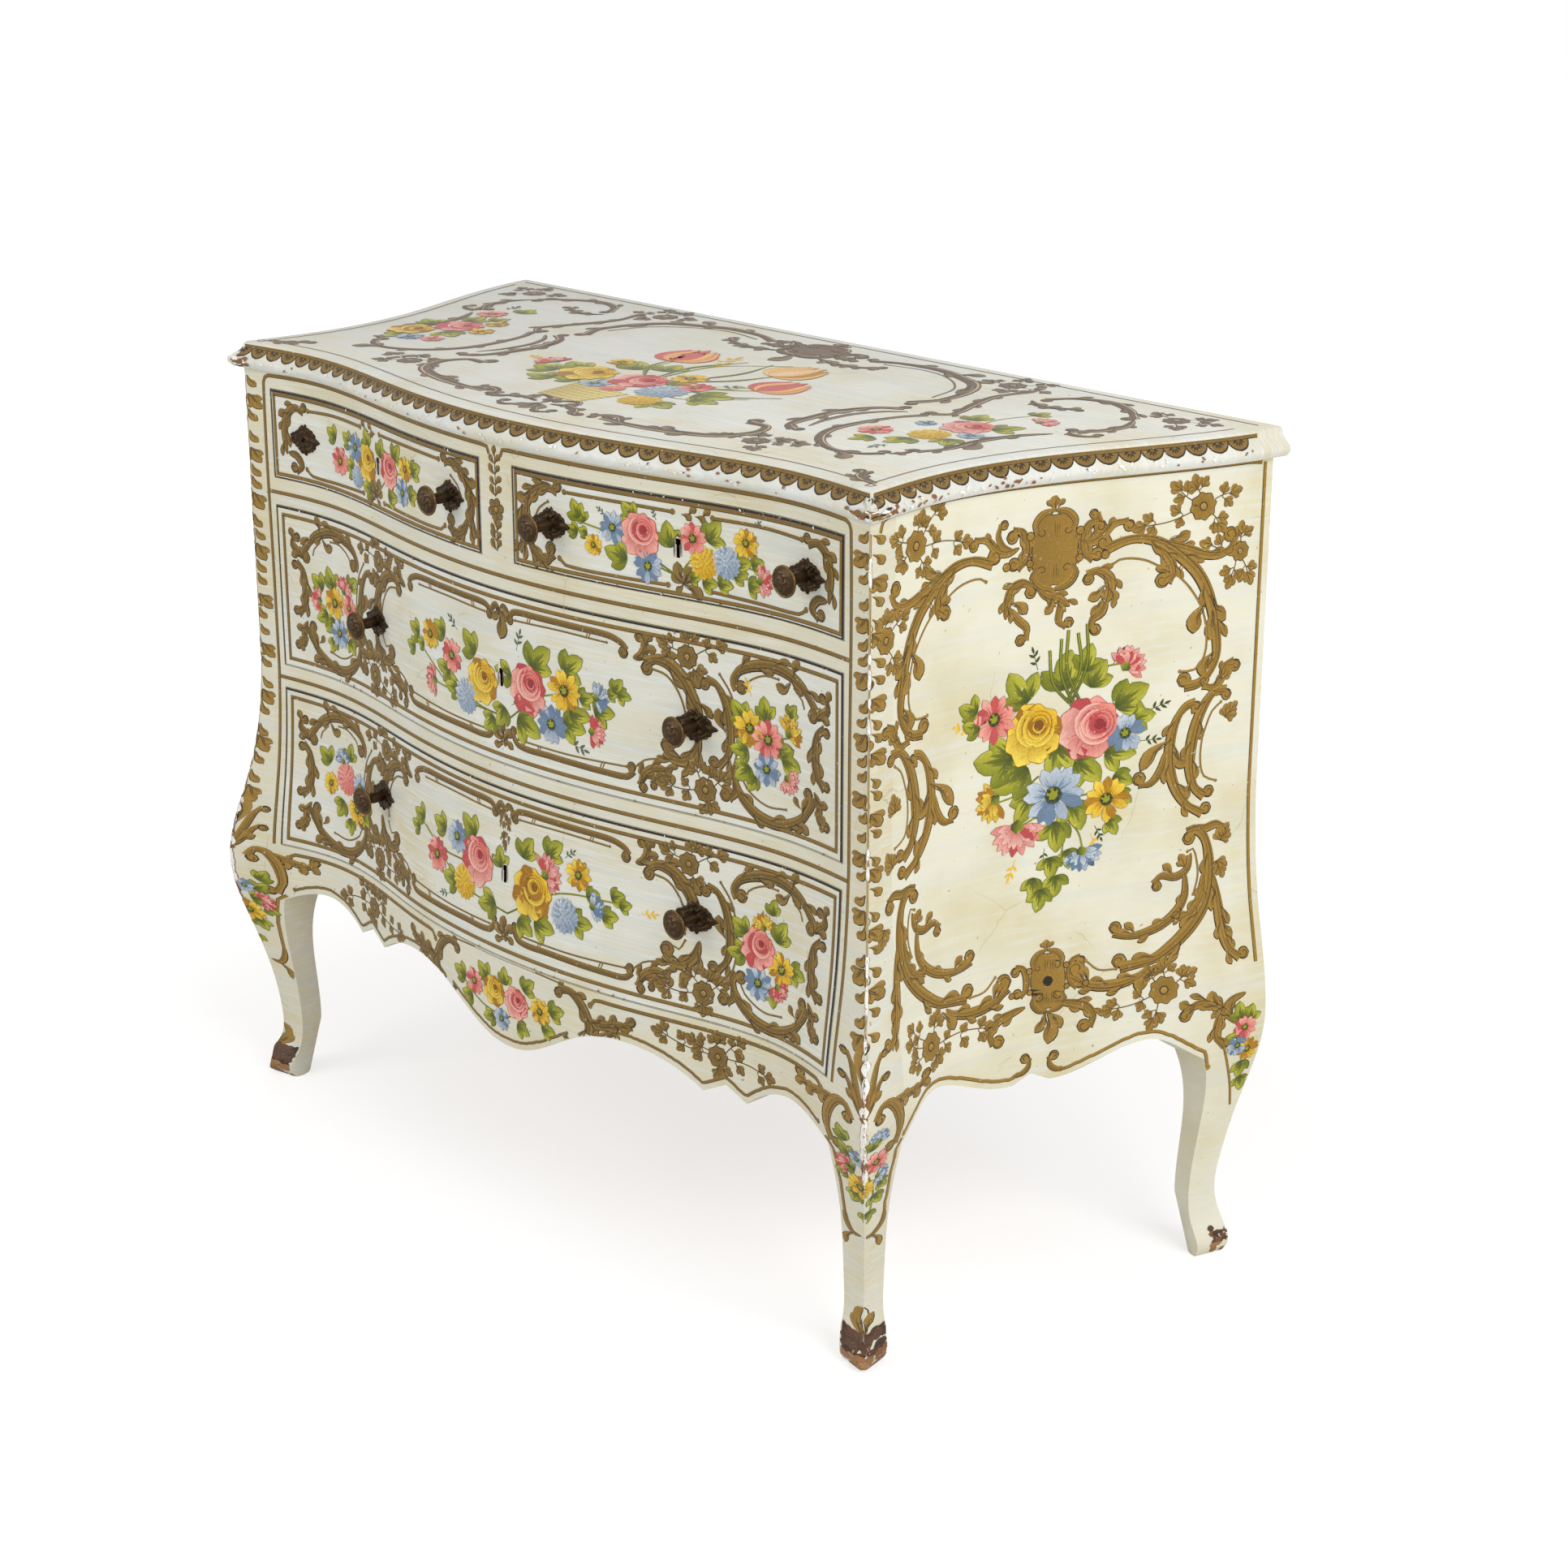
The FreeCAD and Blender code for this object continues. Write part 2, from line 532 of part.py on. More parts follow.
def top_kickers():
    """Strips under the top that keep the short drawers from tipping as they come out."""
    under = UPPER_TOP - DRAWER_SIDE_DROP + 2 * DRAWER_EDGE_GAP
    half = KICKER_WIDTH
    edge_x = OPENING_HALF
    strips = [block(-half, half, BACK_RAIL_FRONT, RAIL_BACK_DEPTH, under, BODY_TOP)]
    for side in HAND.values():
        strips.append(block(side * edge_x, side * (edge_x - KICKER_WIDTH), BACK_RAIL_FRONT, RAIL_BACK_DEPTH,
                            under, BODY_TOP))
    return Part.makeCompound(strips)


def back_boards():
    """Upright boards of the back."""
    width = 2 * BACK_POST_X / BACK_BOARD_COUNT
    return Part.makeCompound([block(-BACK_POST_X + index * width, -BACK_POST_X + (index + 1) * width,
                                    BODY_BACK, BACK_BOARD_FRONT, BOTTOM_UNDER, BODY_TOP)
                              for index in range(BACK_BOARD_COUNT)])


def back_rail(z0, z1):
    """Rail across the back, between the back posts."""
    return block(-BACK_POST_X, BACK_POST_X, BACK_BOARD_FRONT, BACK_RAIL_FRONT, z0, z1)


def bottom_board():
    """Dust board under the lower drawer."""
    board = block(-FAR, FAR, BACK_BOARD_FRONT, FAR, BOTTOM_UNDER, RUNNER_UNDER)
    for hand in HAND:
        board = board.common(inside_straight(hand, SIDE_THICKNESS))
    return clear_of_posts(board.common(behind_straight(APRON_THICKNESS)))


def drawer_stops():
    """Small blocks on the rails that the drawer fronts come to rest against."""
    places = [(side * SHORT_CENTRE, UPPER_FLOOR) for side in HAND.values()]
    for floor in (MIDDLE_FLOOR, LOWER_FLOOR):
        places += [(side * STOP_PLACE * OPENING_HALF, floor) for side in HAND.values()]
    back_face = behind_straight(DRAWER_FRONT_THICKNESS + STOP_GAP)
    stops = []
    for x, floor in places:
        reach = front_depth(x, BODY_TOP) - DRAWER_FRONT_THICKNESS
        stop = block(x - STOP_LENGTH / 2, x + STOP_LENGTH / 2, reach - STOP_DEPTH, FAR, floor, floor + STOP_HEIGHT)
        stops.append(stop.common(back_face))
    return Part.makeCompound(stops)


def bolt_slot(drawer, grow, z0, z1):
    """Room round a drawer's bolt."""
    half = BOLT_WIDTH / 2 + grow
    middle = drawer["lock_depth"] - LOCK_COVER - LOCK_DEPTH / 2
    return block(drawer["lock_x"] - half, drawer["lock_x"] + half, middle - BOLT_THICKNESS / 2 - grow,
                 middle + BOLT_THICKNESS / 2 + grow, z0, z1)


def keyhole(drawer):
    """Slot with a wider head, from in front of the drawer to partway into its lock."""
    x, z, depth = drawer["lock_x"], drawer["lock_z"], drawer["lock_depth"]
    near, far = depth - LOCK_COVER - LOCK_DEPTH / 3, depth + FAR
    low, high = z - KEYHOLE_HEIGHT / 2, z + KEYHOLE_HEIGHT / 2
    head = block(x - KEYHOLE_HEAD / 2, x + KEYHOLE_HEAD / 2, near, far, high - KEYHOLE_HEAD, high)
    return head.fuse(block(x - KEYHOLE_SLOT / 2, x + KEYHOLE_SLOT / 2, near, far, low, high - KEYHOLE_HEAD))


def knob_places(drawer):
    """Places of a drawer's knob plates across the front, from the left."""
    return [drawer["lock_x"] - drawer["spread"], drawer["lock_x"] + drawer["spread"]]


def drawer_front(drawer):
    """Front of one drawer, sawn to the serpentine, bored for knobs and let in for its lock."""
    blank = block(drawer["left"], drawer["right"], 0, FAR, drawer["floor"] + DRAWER_EDGE_GAP,
                  drawer["top"] - DRAWER_EDGE_GAP)
    front = blank.common(FRONT_BODY).cut(behind_straight(DRAWER_FRONT_THICKNESS))
    front = front.cut(lock_room(drawer)).cut(keyhole(drawer))
    front = front.cut(bolt_slot(drawer, BOLT_GAP, drawer["lock_z"], FAR))
    for x in knob_places(drawer):
        front = front.cut(knob_bore(x, drawer["knob_z"]))
    return front


def knob_bore(x, z):
    """Square hole for a knob's tang."""
    depth, half = front_depth(x, z), TANG_WIDTH / 2
    return block(x - half, x + half, depth - TANG_LENGTH, depth + FAR, z - half, z + half)


def lock_room(drawer):
    """Block that a drawer's lock fills."""
    x, z, depth = drawer["lock_x"], drawer["lock_z"], drawer["lock_depth"]
    return block(x - LOCK_WIDTH / 2, x + LOCK_WIDTH / 2, depth - LOCK_COVER - LOCK_DEPTH, depth - LOCK_COVER,
                 z - LOCK_HEIGHT / 2, z + LOCK_HEIGHT / 2)


def lock_case(drawer):
    """Lock with the slot that its bolt runs in."""
    top = drawer["lock_z"] + LOCK_HEIGHT / 2
    slot = bolt_slot(drawer, BOLT_GAP, top - BOLT_TAIL - RUN_GAP, FAR)
    return lock_room(drawer).cut(slot).cut(keyhole(drawer))


def lock_bolt(drawer):
    """Bolt that rises into the rail above the drawer."""
    top = drawer["lock_z"] + LOCK_HEIGHT / 2
    return bolt_slot(drawer, 0.0, top - BOLT_TAIL, drawer["top"] - 2 * DRAWER_EDGE_GAP)


def bolt_mortises(rail, drawers):
    """Rail with the holes that the bolts below it rise into."""
    for drawer in drawers:
        rail = rail.cut(bolt_slot(drawer, BOLT_GAP, drawer["top"] - DRAWER_EDGE_GAP, drawer["top"] + BOLT_TRAVEL))
    return rail


def knob(x, z):
    """Round domed knob on a neck, and the square tang that goes into the drawer front."""
    seat, half = front_depth(x, z) + PLATE_THICKNESS, TANG_WIDTH / 2
    radius, neck = KNOB_RADIUS, KNOB_NECK_RADIUS
    reach = KNOB_REACH - PLATE_THICKNESS
    profile = [(0, reach), (0, -neck), (neck, -neck), (neck, 0.68 * reach), (radius, 0.68 * reach),
               (radius, 0.84 * reach), (0.78 * radius, reach), (0, reach)]
    face = Part.Face(Part.makePolygon([at(x + r, seat + out, z) for r, out in profile]))
    head = face.revolve(at(x, seat, z), Vector(0, -1, 0), 360)
    tang = block(x - half, x + half, seat - PLATE_THICKNESS - TANG_LENGTH, seat, z - half, z + half)
    return head.cut(PLATE_BODY).fuse(tang)


def knob_plate(x, z):
    """Lens-shaped backplate, pointed left and right, bent to the drawer front."""
    arcs = [Part.Arc(at(x - PLATE_HALF_WIDTH, FAR, z), at(x, FAR, z + sign * PLATE_HALF_HEIGHT),
                     at(x + PLATE_HALF_WIDTH, FAR, z)).toShape() for sign in HAND.values()]
    lens = outline_solid(arcs, Vector(0, 2 * FAR, 0))
    plate = PLATE_LAYER.common(lens)
    return plate.cut(knob_bore(x, z))


def drawer_side(drawer, sign):
    """One side of a drawer box."""
    outer = drawer["right"] if sign > 0 else drawer["left"]
    board = block(outer, outer - sign * DRAWER_SIDE_THICKNESS, DRAWER_BACK_DEPTH, FAR,
                  drawer["floor"] + RUN_GAP, drawer["top"] - DRAWER_SIDE_DROP)
    return board.common(behind_straight(DRAWER_FRONT_THICKNESS))


def drawer_bottom(drawer):
    """Bottom of a drawer, between its sides, under its back and up to its front."""
    under = drawer["floor"] + DRAWER_BOTTOM_RAISE
    board = block(drawer["left"] + DRAWER_SIDE_THICKNESS, drawer["right"] - DRAWER_SIDE_THICKNESS,
                  DRAWER_BACK_DEPTH, FAR, under, under + DRAWER_BOTTOM_THICKNESS)
    return board.common(behind_straight(DRAWER_FRONT_THICKNESS))


def drawer_back(drawer):
    """Back of a drawer, standing on its bottom."""
    bottom = drawer["floor"] + DRAWER_BOTTOM_RAISE + DRAWER_BOTTOM_THICKNESS
    return block(drawer["left"] + DRAWER_SIDE_THICKNESS, drawer["right"] - DRAWER_SIDE_THICKNESS,
                 DRAWER_BACK_DEPTH, DRAWER_BACK_DEPTH + DRAWER_SIDE_THICKNESS, bottom,
                 drawer["top"] - DRAWER_BACK_DROP)


def make_drawer(x0, x1, floor, top, spread, knob_raise=0.0, knobs=(0, 1)):
    """Sizes of one drawer: its box, its lock and its knobs, of which a lost one leaves only its plate."""
    centre = (x0 + x1) / 2
    middle = (floor + top) / 2
    return {"left": x0 + DRAWER_SIDE_GAP, "right": x1 - DRAWER_SIDE_GAP, "floor": floor, "top": top,
            "lock_x": centre, "lock_z": middle, "lock_depth": front_depth(centre, middle),
            "spread": spread, "knob_z": middle + knob_raise, "knobs": knobs}


DRAWERS = {
    "upper_left": make_drawer(-OPENING_HALF, -STILE_WIDTH / 2, UPPER_FLOOR, UPPER_TOP, SHORT_KNOB_SPREAD,
                              knobs=(1,)),
    "upper_right": make_drawer(STILE_WIDTH / 2, OPENING_HALF, UPPER_FLOOR, UPPER_TOP, SHORT_KNOB_SPREAD),
    "middle": make_drawer(-OPENING_HALF, OPENING_HALF, MIDDLE_FLOOR, MIDDLE_TOP, LONG_KNOB_SPREAD),
    "lower": make_drawer(-OPENING_HALF, OPENING_HALF, LOWER_FLOOR, LOWER_TOP, LONG_KNOB_SPREAD,
                         LOWER_KNOB_RAISE),
}


def carcass():
    """Nodes of the body that stands on the floor."""
    short = [DRAWERS["upper_left"], DRAWERS["upper_right"]]
    nodes = {"top_board": top_board(),
             "top_rail": bolt_mortises(front_rail(UPPER_TOP, BODY_TOP), short),
             "upper_drawer_rail": bolt_mortises(front_rail(MIDDLE_TOP, UPPER_FLOOR), [DRAWERS["middle"]]),
             "lower_drawer_rail": bolt_mortises(front_rail(LOWER_TOP, MIDDLE_FLOOR), [DRAWERS["lower"]]),
             "front_apron": front_apron(),
             "drawer_divider": drawer_divider(),
             "back_boards": back_boards(),
             "back_top_rail": back_rail(BODY_TOP - BACK_RAIL_HEIGHT, BODY_TOP),
             "back_bottom_rail": back_rail(RUNNER_UNDER, LOWER_FLOOR),
             "bottom_board": bottom_board(),
             "upper_runners": runners(UPPER_FLOOR, RAIL_BACK_DEPTH, None, BACK_BOARD_FRONT, middle=True),
             "middle_runners": runners(MIDDLE_FLOOR, RAIL_BACK_DEPTH, None, BACK_BOARD_FRONT),
             "lower_runners": runners(LOWER_FLOOR, FAR, behind_straight(APRON_THICKNESS), BACK_RAIL_FRONT),
             "top_kickers": top_kickers(),
             "drawer_stops": drawer_stops()}
    tenons = [(UPPER_TOP, BODY_TOP), (MIDDLE_TOP, UPPER_FLOOR), (LOWER_TOP, MIDDLE_FLOOR)]
    for hand, side in HAND.items():
        nodes["side_panel_" + hand] = side_panel(hand)
        nodes["back_leg_" + hand] = corner_leg(hand, front=False)
        leg = corner_leg(hand, front=True)
        for z0, z1 in tenons:
            leg = leg.cut(rail_tenon(side, z0, z1))
        nodes["front_leg_" + hand] = leg
    return nodes


def drawer_nodes(name, drawer):
    """Nodes of one drawer and its lock."""
    places = knob_places(drawer)
    return {name + "_drawer_front": drawer_front(drawer),
            name + "_drawer_side_left": drawer_side(drawer, -1),
            name + "_drawer_side_right": drawer_side(drawer, 1),
            name + "_drawer_bottom": drawer_bottom(drawer),
            name + "_drawer_back": drawer_back(drawer),
            name + "_drawer_plates": Part.makeCompound([knob_plate(x, drawer["knob_z"]) for x in places]),
            name + "_drawer_knobs": Part.makeCompound([knob(places[i], drawer["knob_z"])
                                                       for i in drawer["knobs"]]),
            name + "_lock_case": lock_case(drawer),
            name + "_lock_bolt": lock_bolt(drawer)}


def main():
    """Build every node and write it out."""
    os.makedirs("parts", exist_ok=True)
    nodes = carcass()
    for name, drawer in DRAWERS.items():
        nodes.update(drawer_nodes(name, drawer))
    for name, shape in nodes.items():
        shape.exportStep("parts/" + name + ".step")
    print(len(nodes), "nodes written")


main()
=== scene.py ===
"""Painted bombe chest of drawers: aged cream paint, ochre scrollwork, flowers and cast fittings over its solids."""
import bisect
import cmath
import math
import random

import bmesh
import bpy
from bpy.props import FloatProperty, FloatVectorProperty, IntProperty, PointerProperty
from mathutils import Matrix, Vector
from mathutils.bvhtree import BVHTree


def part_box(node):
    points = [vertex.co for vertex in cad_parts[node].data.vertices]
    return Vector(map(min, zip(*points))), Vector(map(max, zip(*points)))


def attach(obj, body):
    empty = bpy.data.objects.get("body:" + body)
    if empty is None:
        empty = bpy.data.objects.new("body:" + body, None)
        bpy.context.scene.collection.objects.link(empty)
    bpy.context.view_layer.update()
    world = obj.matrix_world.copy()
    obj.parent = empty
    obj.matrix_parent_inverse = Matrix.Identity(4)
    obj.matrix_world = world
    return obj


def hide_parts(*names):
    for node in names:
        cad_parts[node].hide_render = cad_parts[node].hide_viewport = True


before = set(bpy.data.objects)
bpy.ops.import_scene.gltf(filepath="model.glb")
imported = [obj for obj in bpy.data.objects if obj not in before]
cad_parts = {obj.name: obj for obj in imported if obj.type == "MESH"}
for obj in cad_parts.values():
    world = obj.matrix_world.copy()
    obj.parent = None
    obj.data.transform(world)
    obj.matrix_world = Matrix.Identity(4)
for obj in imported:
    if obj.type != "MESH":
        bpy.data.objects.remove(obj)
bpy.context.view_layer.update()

bl_info = {
    "name": "Painted bombe chest",
    "version": (1, 0, 0),
    "blender": (4, 5, 0),
    "location": "3D View > Sidebar > Chest",
    "description": "Dresses a bombe chest of drawers in aged paint, scrollwork, flowers and cast fittings",
    "category": "Object",
}

MM = 0.001
DRAWERS = ("upper_left", "upper_right", "middle", "lower")
SIDES = {"left": -1, "right": 1}     # which way each side looks along X
PAINTED_FRONT = ("top_rail", "upper_drawer_rail", "lower_drawer_rail", "front_apron", "drawer_divider",
                 "front_leg_left", "front_leg_right")
PAINTED_SIDE = ("side_panel_left", "side_panel_right", "back_leg_left", "back_leg_right")
BARE_INSIDE = ("back_boards", "back_top_rail", "back_bottom_rail", "bottom_board", "upper_runners",
               "middle_runners", "lower_runners", "top_kickers", "drawer_stops")
BARE_DRAWER = ("drawer_side_left", "drawer_side_right", "drawer_bottom", "drawer_back")


# ---------------------------------------------------------------- colours and sizes

def linear(code):
    """Linear colour of an sRGB hex code."""
    parts = [int(code[i:i + 2], 16) / 255 for i in (1, 3, 5)]
    return tuple(c / 12.92 if c <= 0.04045 else ((c + 0.055) / 1.055) ** 2.4 for c in parts)


def tint(name, description, code):
    """A colour that the user may change."""
    return FloatVectorProperty(name=name, description=description, default=linear(code), size=3,
                               min=0.0, max=1.0, subtype="COLOR")


def length(name, description, millimetres):
    """A size that the user may change, kept in metres."""
    return FloatProperty(name=name, description=description, default=millimetres * MM, min=0.0,
                         unit="LENGTH", precision=5)


class ChestPaints(bpy.types.PropertyGroup):
    """Colours of the paints, woods and metals."""
    # Painted light: the front, side and top grounds are one cream paint in three tones for how the light falls on
    # each face, cooler and darker on the front as in shade, warmer and brighter on the sides as in the lamp's light,
    # and greyer on the top.
    front_ground: tint("Front ground", "Pale celadon cream of the drawers", "#E8E6D6")
    rail_ground: tint("Rail ground", "Yellower ivory of the rails, the apron and the front legs", "#E6E0C6")
    lit_side_ground: tint("Side ground", "Warmer cream of the side panels", "#EFEBD3")
    top_ground: tint("Top ground", "Greyer cream of the top", "#E8E6DA")
    brushed: tint("Brushed white", "Cool white where the brush dragged the paint thin", "#EFF3F1")
    hazed: tint("Hazed", "Cool grey-blue bloom in the old varnish", "#D9DFDC")
    yellowed: tint("Yellowed varnish", "Where old varnish and dirt have settled", "#D6C68C")
    gesso: tint("Gesso", "White ground that shows where paint has chipped off", "#FFFDF5")
    chipped: tint("Chipped wood", "Brown wood where paint and gesso are gone", "#8A5A38")
    front_gold: tint("Front gold", "Ochre scrollwork of the drawers and rails", "#876A2E")
    # Painted light: the ochre of the sides' scrollwork is painted brighter, as the light falls on the sides.
    side_gold: tint("Side gold", "Brighter ochre scrollwork of the sides", "#A17C2D")
    gold_light: tint("Light ochre", "Lit side of the scrollwork", "#B8954A")
    gold_dark: tint("Umber", "Outlines and veins of the scrollwork", "#2E1F0D")
    top_gold: tint("Top gold", "Greyer scrollwork of the top", "#735B3F")
    top_shine: tint("Worn top gold", "Pale worn spots in the scrollwork of the top", "#C8B48E")
    # Grime, and also painted shade: the dark bands along the drawers' edges stand partly for the shade in the gaps
    # round the drawers, and the keyholes' walls are painted near black for the shade inside them.
    grime: tint("Grime", "Bare dirty edges of the drawers and dark toes", "#2C1D12")
    leaf_dark: tint("Dark leaf", "Shaded half of a leaf", "#3C4A10")
    leaf: tint("Leaf", "Body of a leaf", "#9A9B22")
    leaf_light: tint("Light leaf", "Lit half of a leaf", "#C3BE3E")
    sprig: tint("Grey sprig", "Small grey-green twigs", "#59664F")
    pink_dark: tint("Dark pink", "Heart of a pink flower", "#B83A40")
    pink: tint("Pink", "Petals of a pink flower", "#F58B7A")
    pink_light: tint("Light pink", "Lit petals of a pink flower", "#FFD2C0")
    yellow_dark: tint("Dark yellow", "Heart of a yellow flower", "#9C620A")
    yellow: tint("Yellow", "Petals of a yellow flower", "#F7C617")
    yellow_light: tint("Light yellow", "Lit petals of a yellow flower", "#FFE65E")
    blue_dark: tint("Dark blue", "Heart of a blue flower", "#54708F")
    blue: tint("Blue", "Petals of a blue flower", "#AFBECE")
    blue_light: tint("Light blue", "Lit petals of a blue flower", "#E6EBEC")
    bare_wood: tint("Bare wood", "Softwood of the back, the drawer boxes and the worn toes", "#B48A5C")
    bronze: tint("Dark bronze", "Patina of the knobs", "#4C3C2C")
    brass: tint("Rubbed brass", "High spots of the knobs and plates", "#A8874A")
    iron: tint("Iron", "Lock cases and bolts", "#57534D")


class ChestSizes(bpy.types.PropertyGroup):
    """Sizes of the paintwork and the fittings."""
    line_width: length("Line width", "Width of the lines round the drawers", 4.0)
    outline: length("Outline", "How far the dark outline shows round the scrollwork", 1.05)
    border_inset: length("Border inset", "From a drawer's edge to the line round it", 9.5)
    fan_width: length("Fan width", "Width of one fan under the top's lip", 24.0)
    knob_radius: length("Knob radius", "Radius of a knob's disc", 15.5)
    swell: FloatProperty(name="Swell", description="How full the scrolls are drawn", default=1.15)
    seed: IntProperty(name="Seed", description="Seed of the small differences between brush strokes", default=7)


class StageSettings(bpy.types.PropertyGroup):
    """Camera and light."""
    eye: FloatVectorProperty(name="Eye", description="Where the camera stands", size=3, unit="LENGTH",
                             subtype="TRANSLATION", default=(2.358, -2.1135, 1.528))
    azimuth: FloatProperty(name="Azimuth", description="Camera's turn round the chest from its front",
                           subtype="ANGLE", default=math.radians(46.04))
    elevation: FloatProperty(name="Elevation", description="Camera's height above the horizon",
                             subtype="ANGLE", default=math.radians(19.0))
    lens: FloatProperty(name="Lens", description="Focal length on a 36 mm sensor", default=70.66)
    shift: FloatVectorProperty(name="Shift", description="Shift of the picture on the sensor", size=2,
                               default=(-0.0014, -0.0025))
    sky: FloatProperty(name="Sky", description="Strength of the even white light all round", default=0.52)
    key: FloatProperty(name="Key", description="Power of the large soft lamp", unit="POWER", default=44.0)


def size_of(name):
    """One of the sizes, in millimetres."""
    return getattr(bpy.context.scene.chest_sizes, name) / MM


# ---------------------------------------------------------------- materials

# How often the brush streaks of a ground repeat along each axis, in a metre.
FRONT_GRAIN, SIDE_GRAIN, TOP_GRAIN = (14.0, 40.0, 400.0), (60.0, 9.0, 220.0), (14.0, 400.0, 60.0)


def add(tree, kind, inputs=None, **settings):
    """Add a node: settings are its own properties, inputs the values or the sockets that feed it."""
    node = tree.nodes.new(kind)
    for name, value in settings.items():
        setattr(node, name, value)
    for name, value in (inputs or {}).items():
        if isinstance(value, bpy.types.NodeSocket):
            tree.links.new(value, node.inputs[name])
        else:
            node.inputs[name].default_value = value
    return node


def new_material(name, **constants):
    """An empty surface with its shader: constants are the shader's own fixed values."""
    material = bpy.data.materials.new(name)
    material.use_nodes = True
    tree = material.node_tree
    tree.nodes.clear()
    shader = add(tree, "ShaderNodeBsdfPrincipled", constants)
    add(tree, "ShaderNodeOutputMaterial", {"Surface": shader.outputs[0]})
    return material, tree, shader


def noise(tree, place, scale, detail, output=0, **more):
    """A noise over a place: its grey value or, as output 1, its colour."""
    inputs = {"Vector": place, "Scale": scale, "Detail": detail, **more}
    return add(tree, "ShaderNodeTexNoise", inputs).outputs[output]


def ramp(tree, value, low, high, first=0.0, last=1.0):
    """A value carried over from one range to another, and held at its ends."""
    return add(tree, "ShaderNodeMapRange", {"Value": value, "From Min": low, "From Max": high,
                                            "To Min": first, "To Max": last}).outputs[0]


def blend(tree, share, first, last, **settings):
    """A colour between two, each of them a colour or a socket."""
    ends = [end if isinstance(end, bpy.types.NodeSocket) else (*end, 1.0) for end in (first, last)]
    return add(tree, "ShaderNodeMix", {"Factor": share, 6: ends[0], 7: ends[1]}, data_type="RGBA",
               **settings).outputs[2]


def wire(tree, shader, colour, gloss=None, relief=None):
    """Feed a shader with a colour and, where they vary, with a roughness and a relief."""
    for name, socket in (("Base Color", colour), ("Roughness", gloss), ("Normal", relief)):
        if socket is not None:
            tree.links.new(socket, shader.inputs[name])


def aged_paint(name, ground, paints, grain, dragged=0.85, hazed=0.5):
    """Oil paint on gesso over wood, brushed by hand, varnished and yellowed with age.

    It gives the eye a pale satin ground with long thin brush streaks, cloudy yellow patches,
    a few hairline cracks and dark specks. The grain vector is how often the streaks repeat along
    each axis: a streak is about 2.5 mm across and runs for 60 mm or more. Dragged and hazed say how
    strongly the brush streaks and the bloom show."""
    material, tree, shader = new_material(name, **{"Specular IOR Level": 0.4})
    place = add(tree, "ShaderNodeTexCoord").outputs["Object"]
    run = add(tree, "ShaderNodeMapping", {"Vector": place, "Scale": grain}).outputs[0]
    streak = noise(tree, run, 1.0, 5.0, Roughness=0.62)
    cloud = noise(tree, place, 1 / 0.11, 4.0)
    haze = noise(tree, run, 0.22, 2.0, Distortion=0.5)
    old = blend(tree, ramp(tree, cloud, 0.42, 0.72, 0.0, 0.62), ground, paints.yellowed)
    pale = blend(tree, ramp(tree, haze, 0.46, 0.66, 0.0, hazed), old, paints.hazed)
    drag = blend(tree, ramp(tree, streak, 0.48, 0.72, 0.0, dragged), pale, paints.brushed)
    bend = noise(tree, place, 1 / 0.03, 3.0, output=1)
    sway = add(tree, "ShaderNodeVectorMath", {0: bend, "Scale": 0.02}, operation="SCALE").outputs[0]
    shaken = add(tree, "ShaderNodeVectorMath", {0: place, 1: sway}).outputs[0]
    cells = add(tree, "ShaderNodeTexVoronoi", {"Vector": shaken, "Scale": 1 / 0.14}, feature="DISTANCE_TO_EDGE")
    hair = ramp(tree, cells.outputs[0], 0.0, 0.005, 1.0, 0.0)
    where = ramp(tree, cloud, 0.55, 0.62, 0.0, 0.34)
    crack = add(tree, "ShaderNodeMath", {0: hair, 1: where}, operation="MULTIPLY").outputs[0]
    speck = ramp(tree, noise(tree, place, 1 / 0.006, 2.0), 0.735, 0.76, 0.0, 0.55)
    worn = add(tree, "ShaderNodeMath", {0: crack, 1: speck}, operation="MAXIMUM").outputs[0]
    gloss = ramp(tree, streak, 0.3, 0.7, 0.36, 0.5)
    ridge = add(tree, "ShaderNodeBump", {"Height": streak, "Strength": 0.25, "Distance": 0.0004}).outputs[0]
    wire(tree, shader, blend(tree, worn, drag, paints.chipped), gloss, ridge)
    return material


def decoration_paint(name, paints):
    """Artist's oil paint in thin brushed layers over the ground, under an old varnish.

    It gives the eye the strokes' own colours, kept on the mesh, with a faint mottle about 2 mm across and
    small bare spots of up to 4 mm where the paint has flaked to the pale ground."""
    material, tree, shader = new_material(name, **{"Specular IOR Level": 0.4, "Roughness": 0.45})
    colour = add(tree, "ShaderNodeAttribute", attribute_name="paint").outputs["Color"]
    place = add(tree, "ShaderNodeTexCoord").outputs["Object"]
    shade = ramp(tree, noise(tree, place, 1 / 0.0022, 3.0), 0.3, 0.7, 0.86, 1.12)
    toned = blend(tree, 1.0, colour, shade, blend_type="MULTIPLY")
    bare = ramp(tree, noise(tree, place, 1 / 0.004, 4.0, Roughness=0.7), 0.655, 0.69, 0.0, 0.8)
    # Bare spots show the front's ground, which is painted in shade.
    wire(tree, shader, blend(tree, bare, toned, paints.front_ground))
    return material


def bare_softwood(name, paints):
    """Unpainted softwood boards, sawn and planed, browned with age.

    It gives the eye long grain lines about 4 mm apart with darker years and dull pale wood between."""
    material, tree, shader = new_material(name, **{"Specular IOR Level": 0.25, "Roughness": 0.72})
    place = add(tree, "ShaderNodeTexCoord").outputs["Object"]
    run = add(tree, "ShaderNodeMapping", {"Vector": place, "Scale": (6.0, 60.0, 250.0)}).outputs[0]
    years = noise(tree, run, 1.0, 4.0, Distortion=0.4)
    dark = tuple(0.45 * c for c in paints.bare_wood)
    colour = blend(tree, ramp(tree, years, 0.35, 0.68, 0.0, 0.75), paints.bare_wood, dark)
    ridge = add(tree, "ShaderNodeBump", {"Height": years, "Strength": 0.3, "Distance": 0.0005}).outputs[0]
    wire(tree, shader, colour, relief=ridge)
    return material


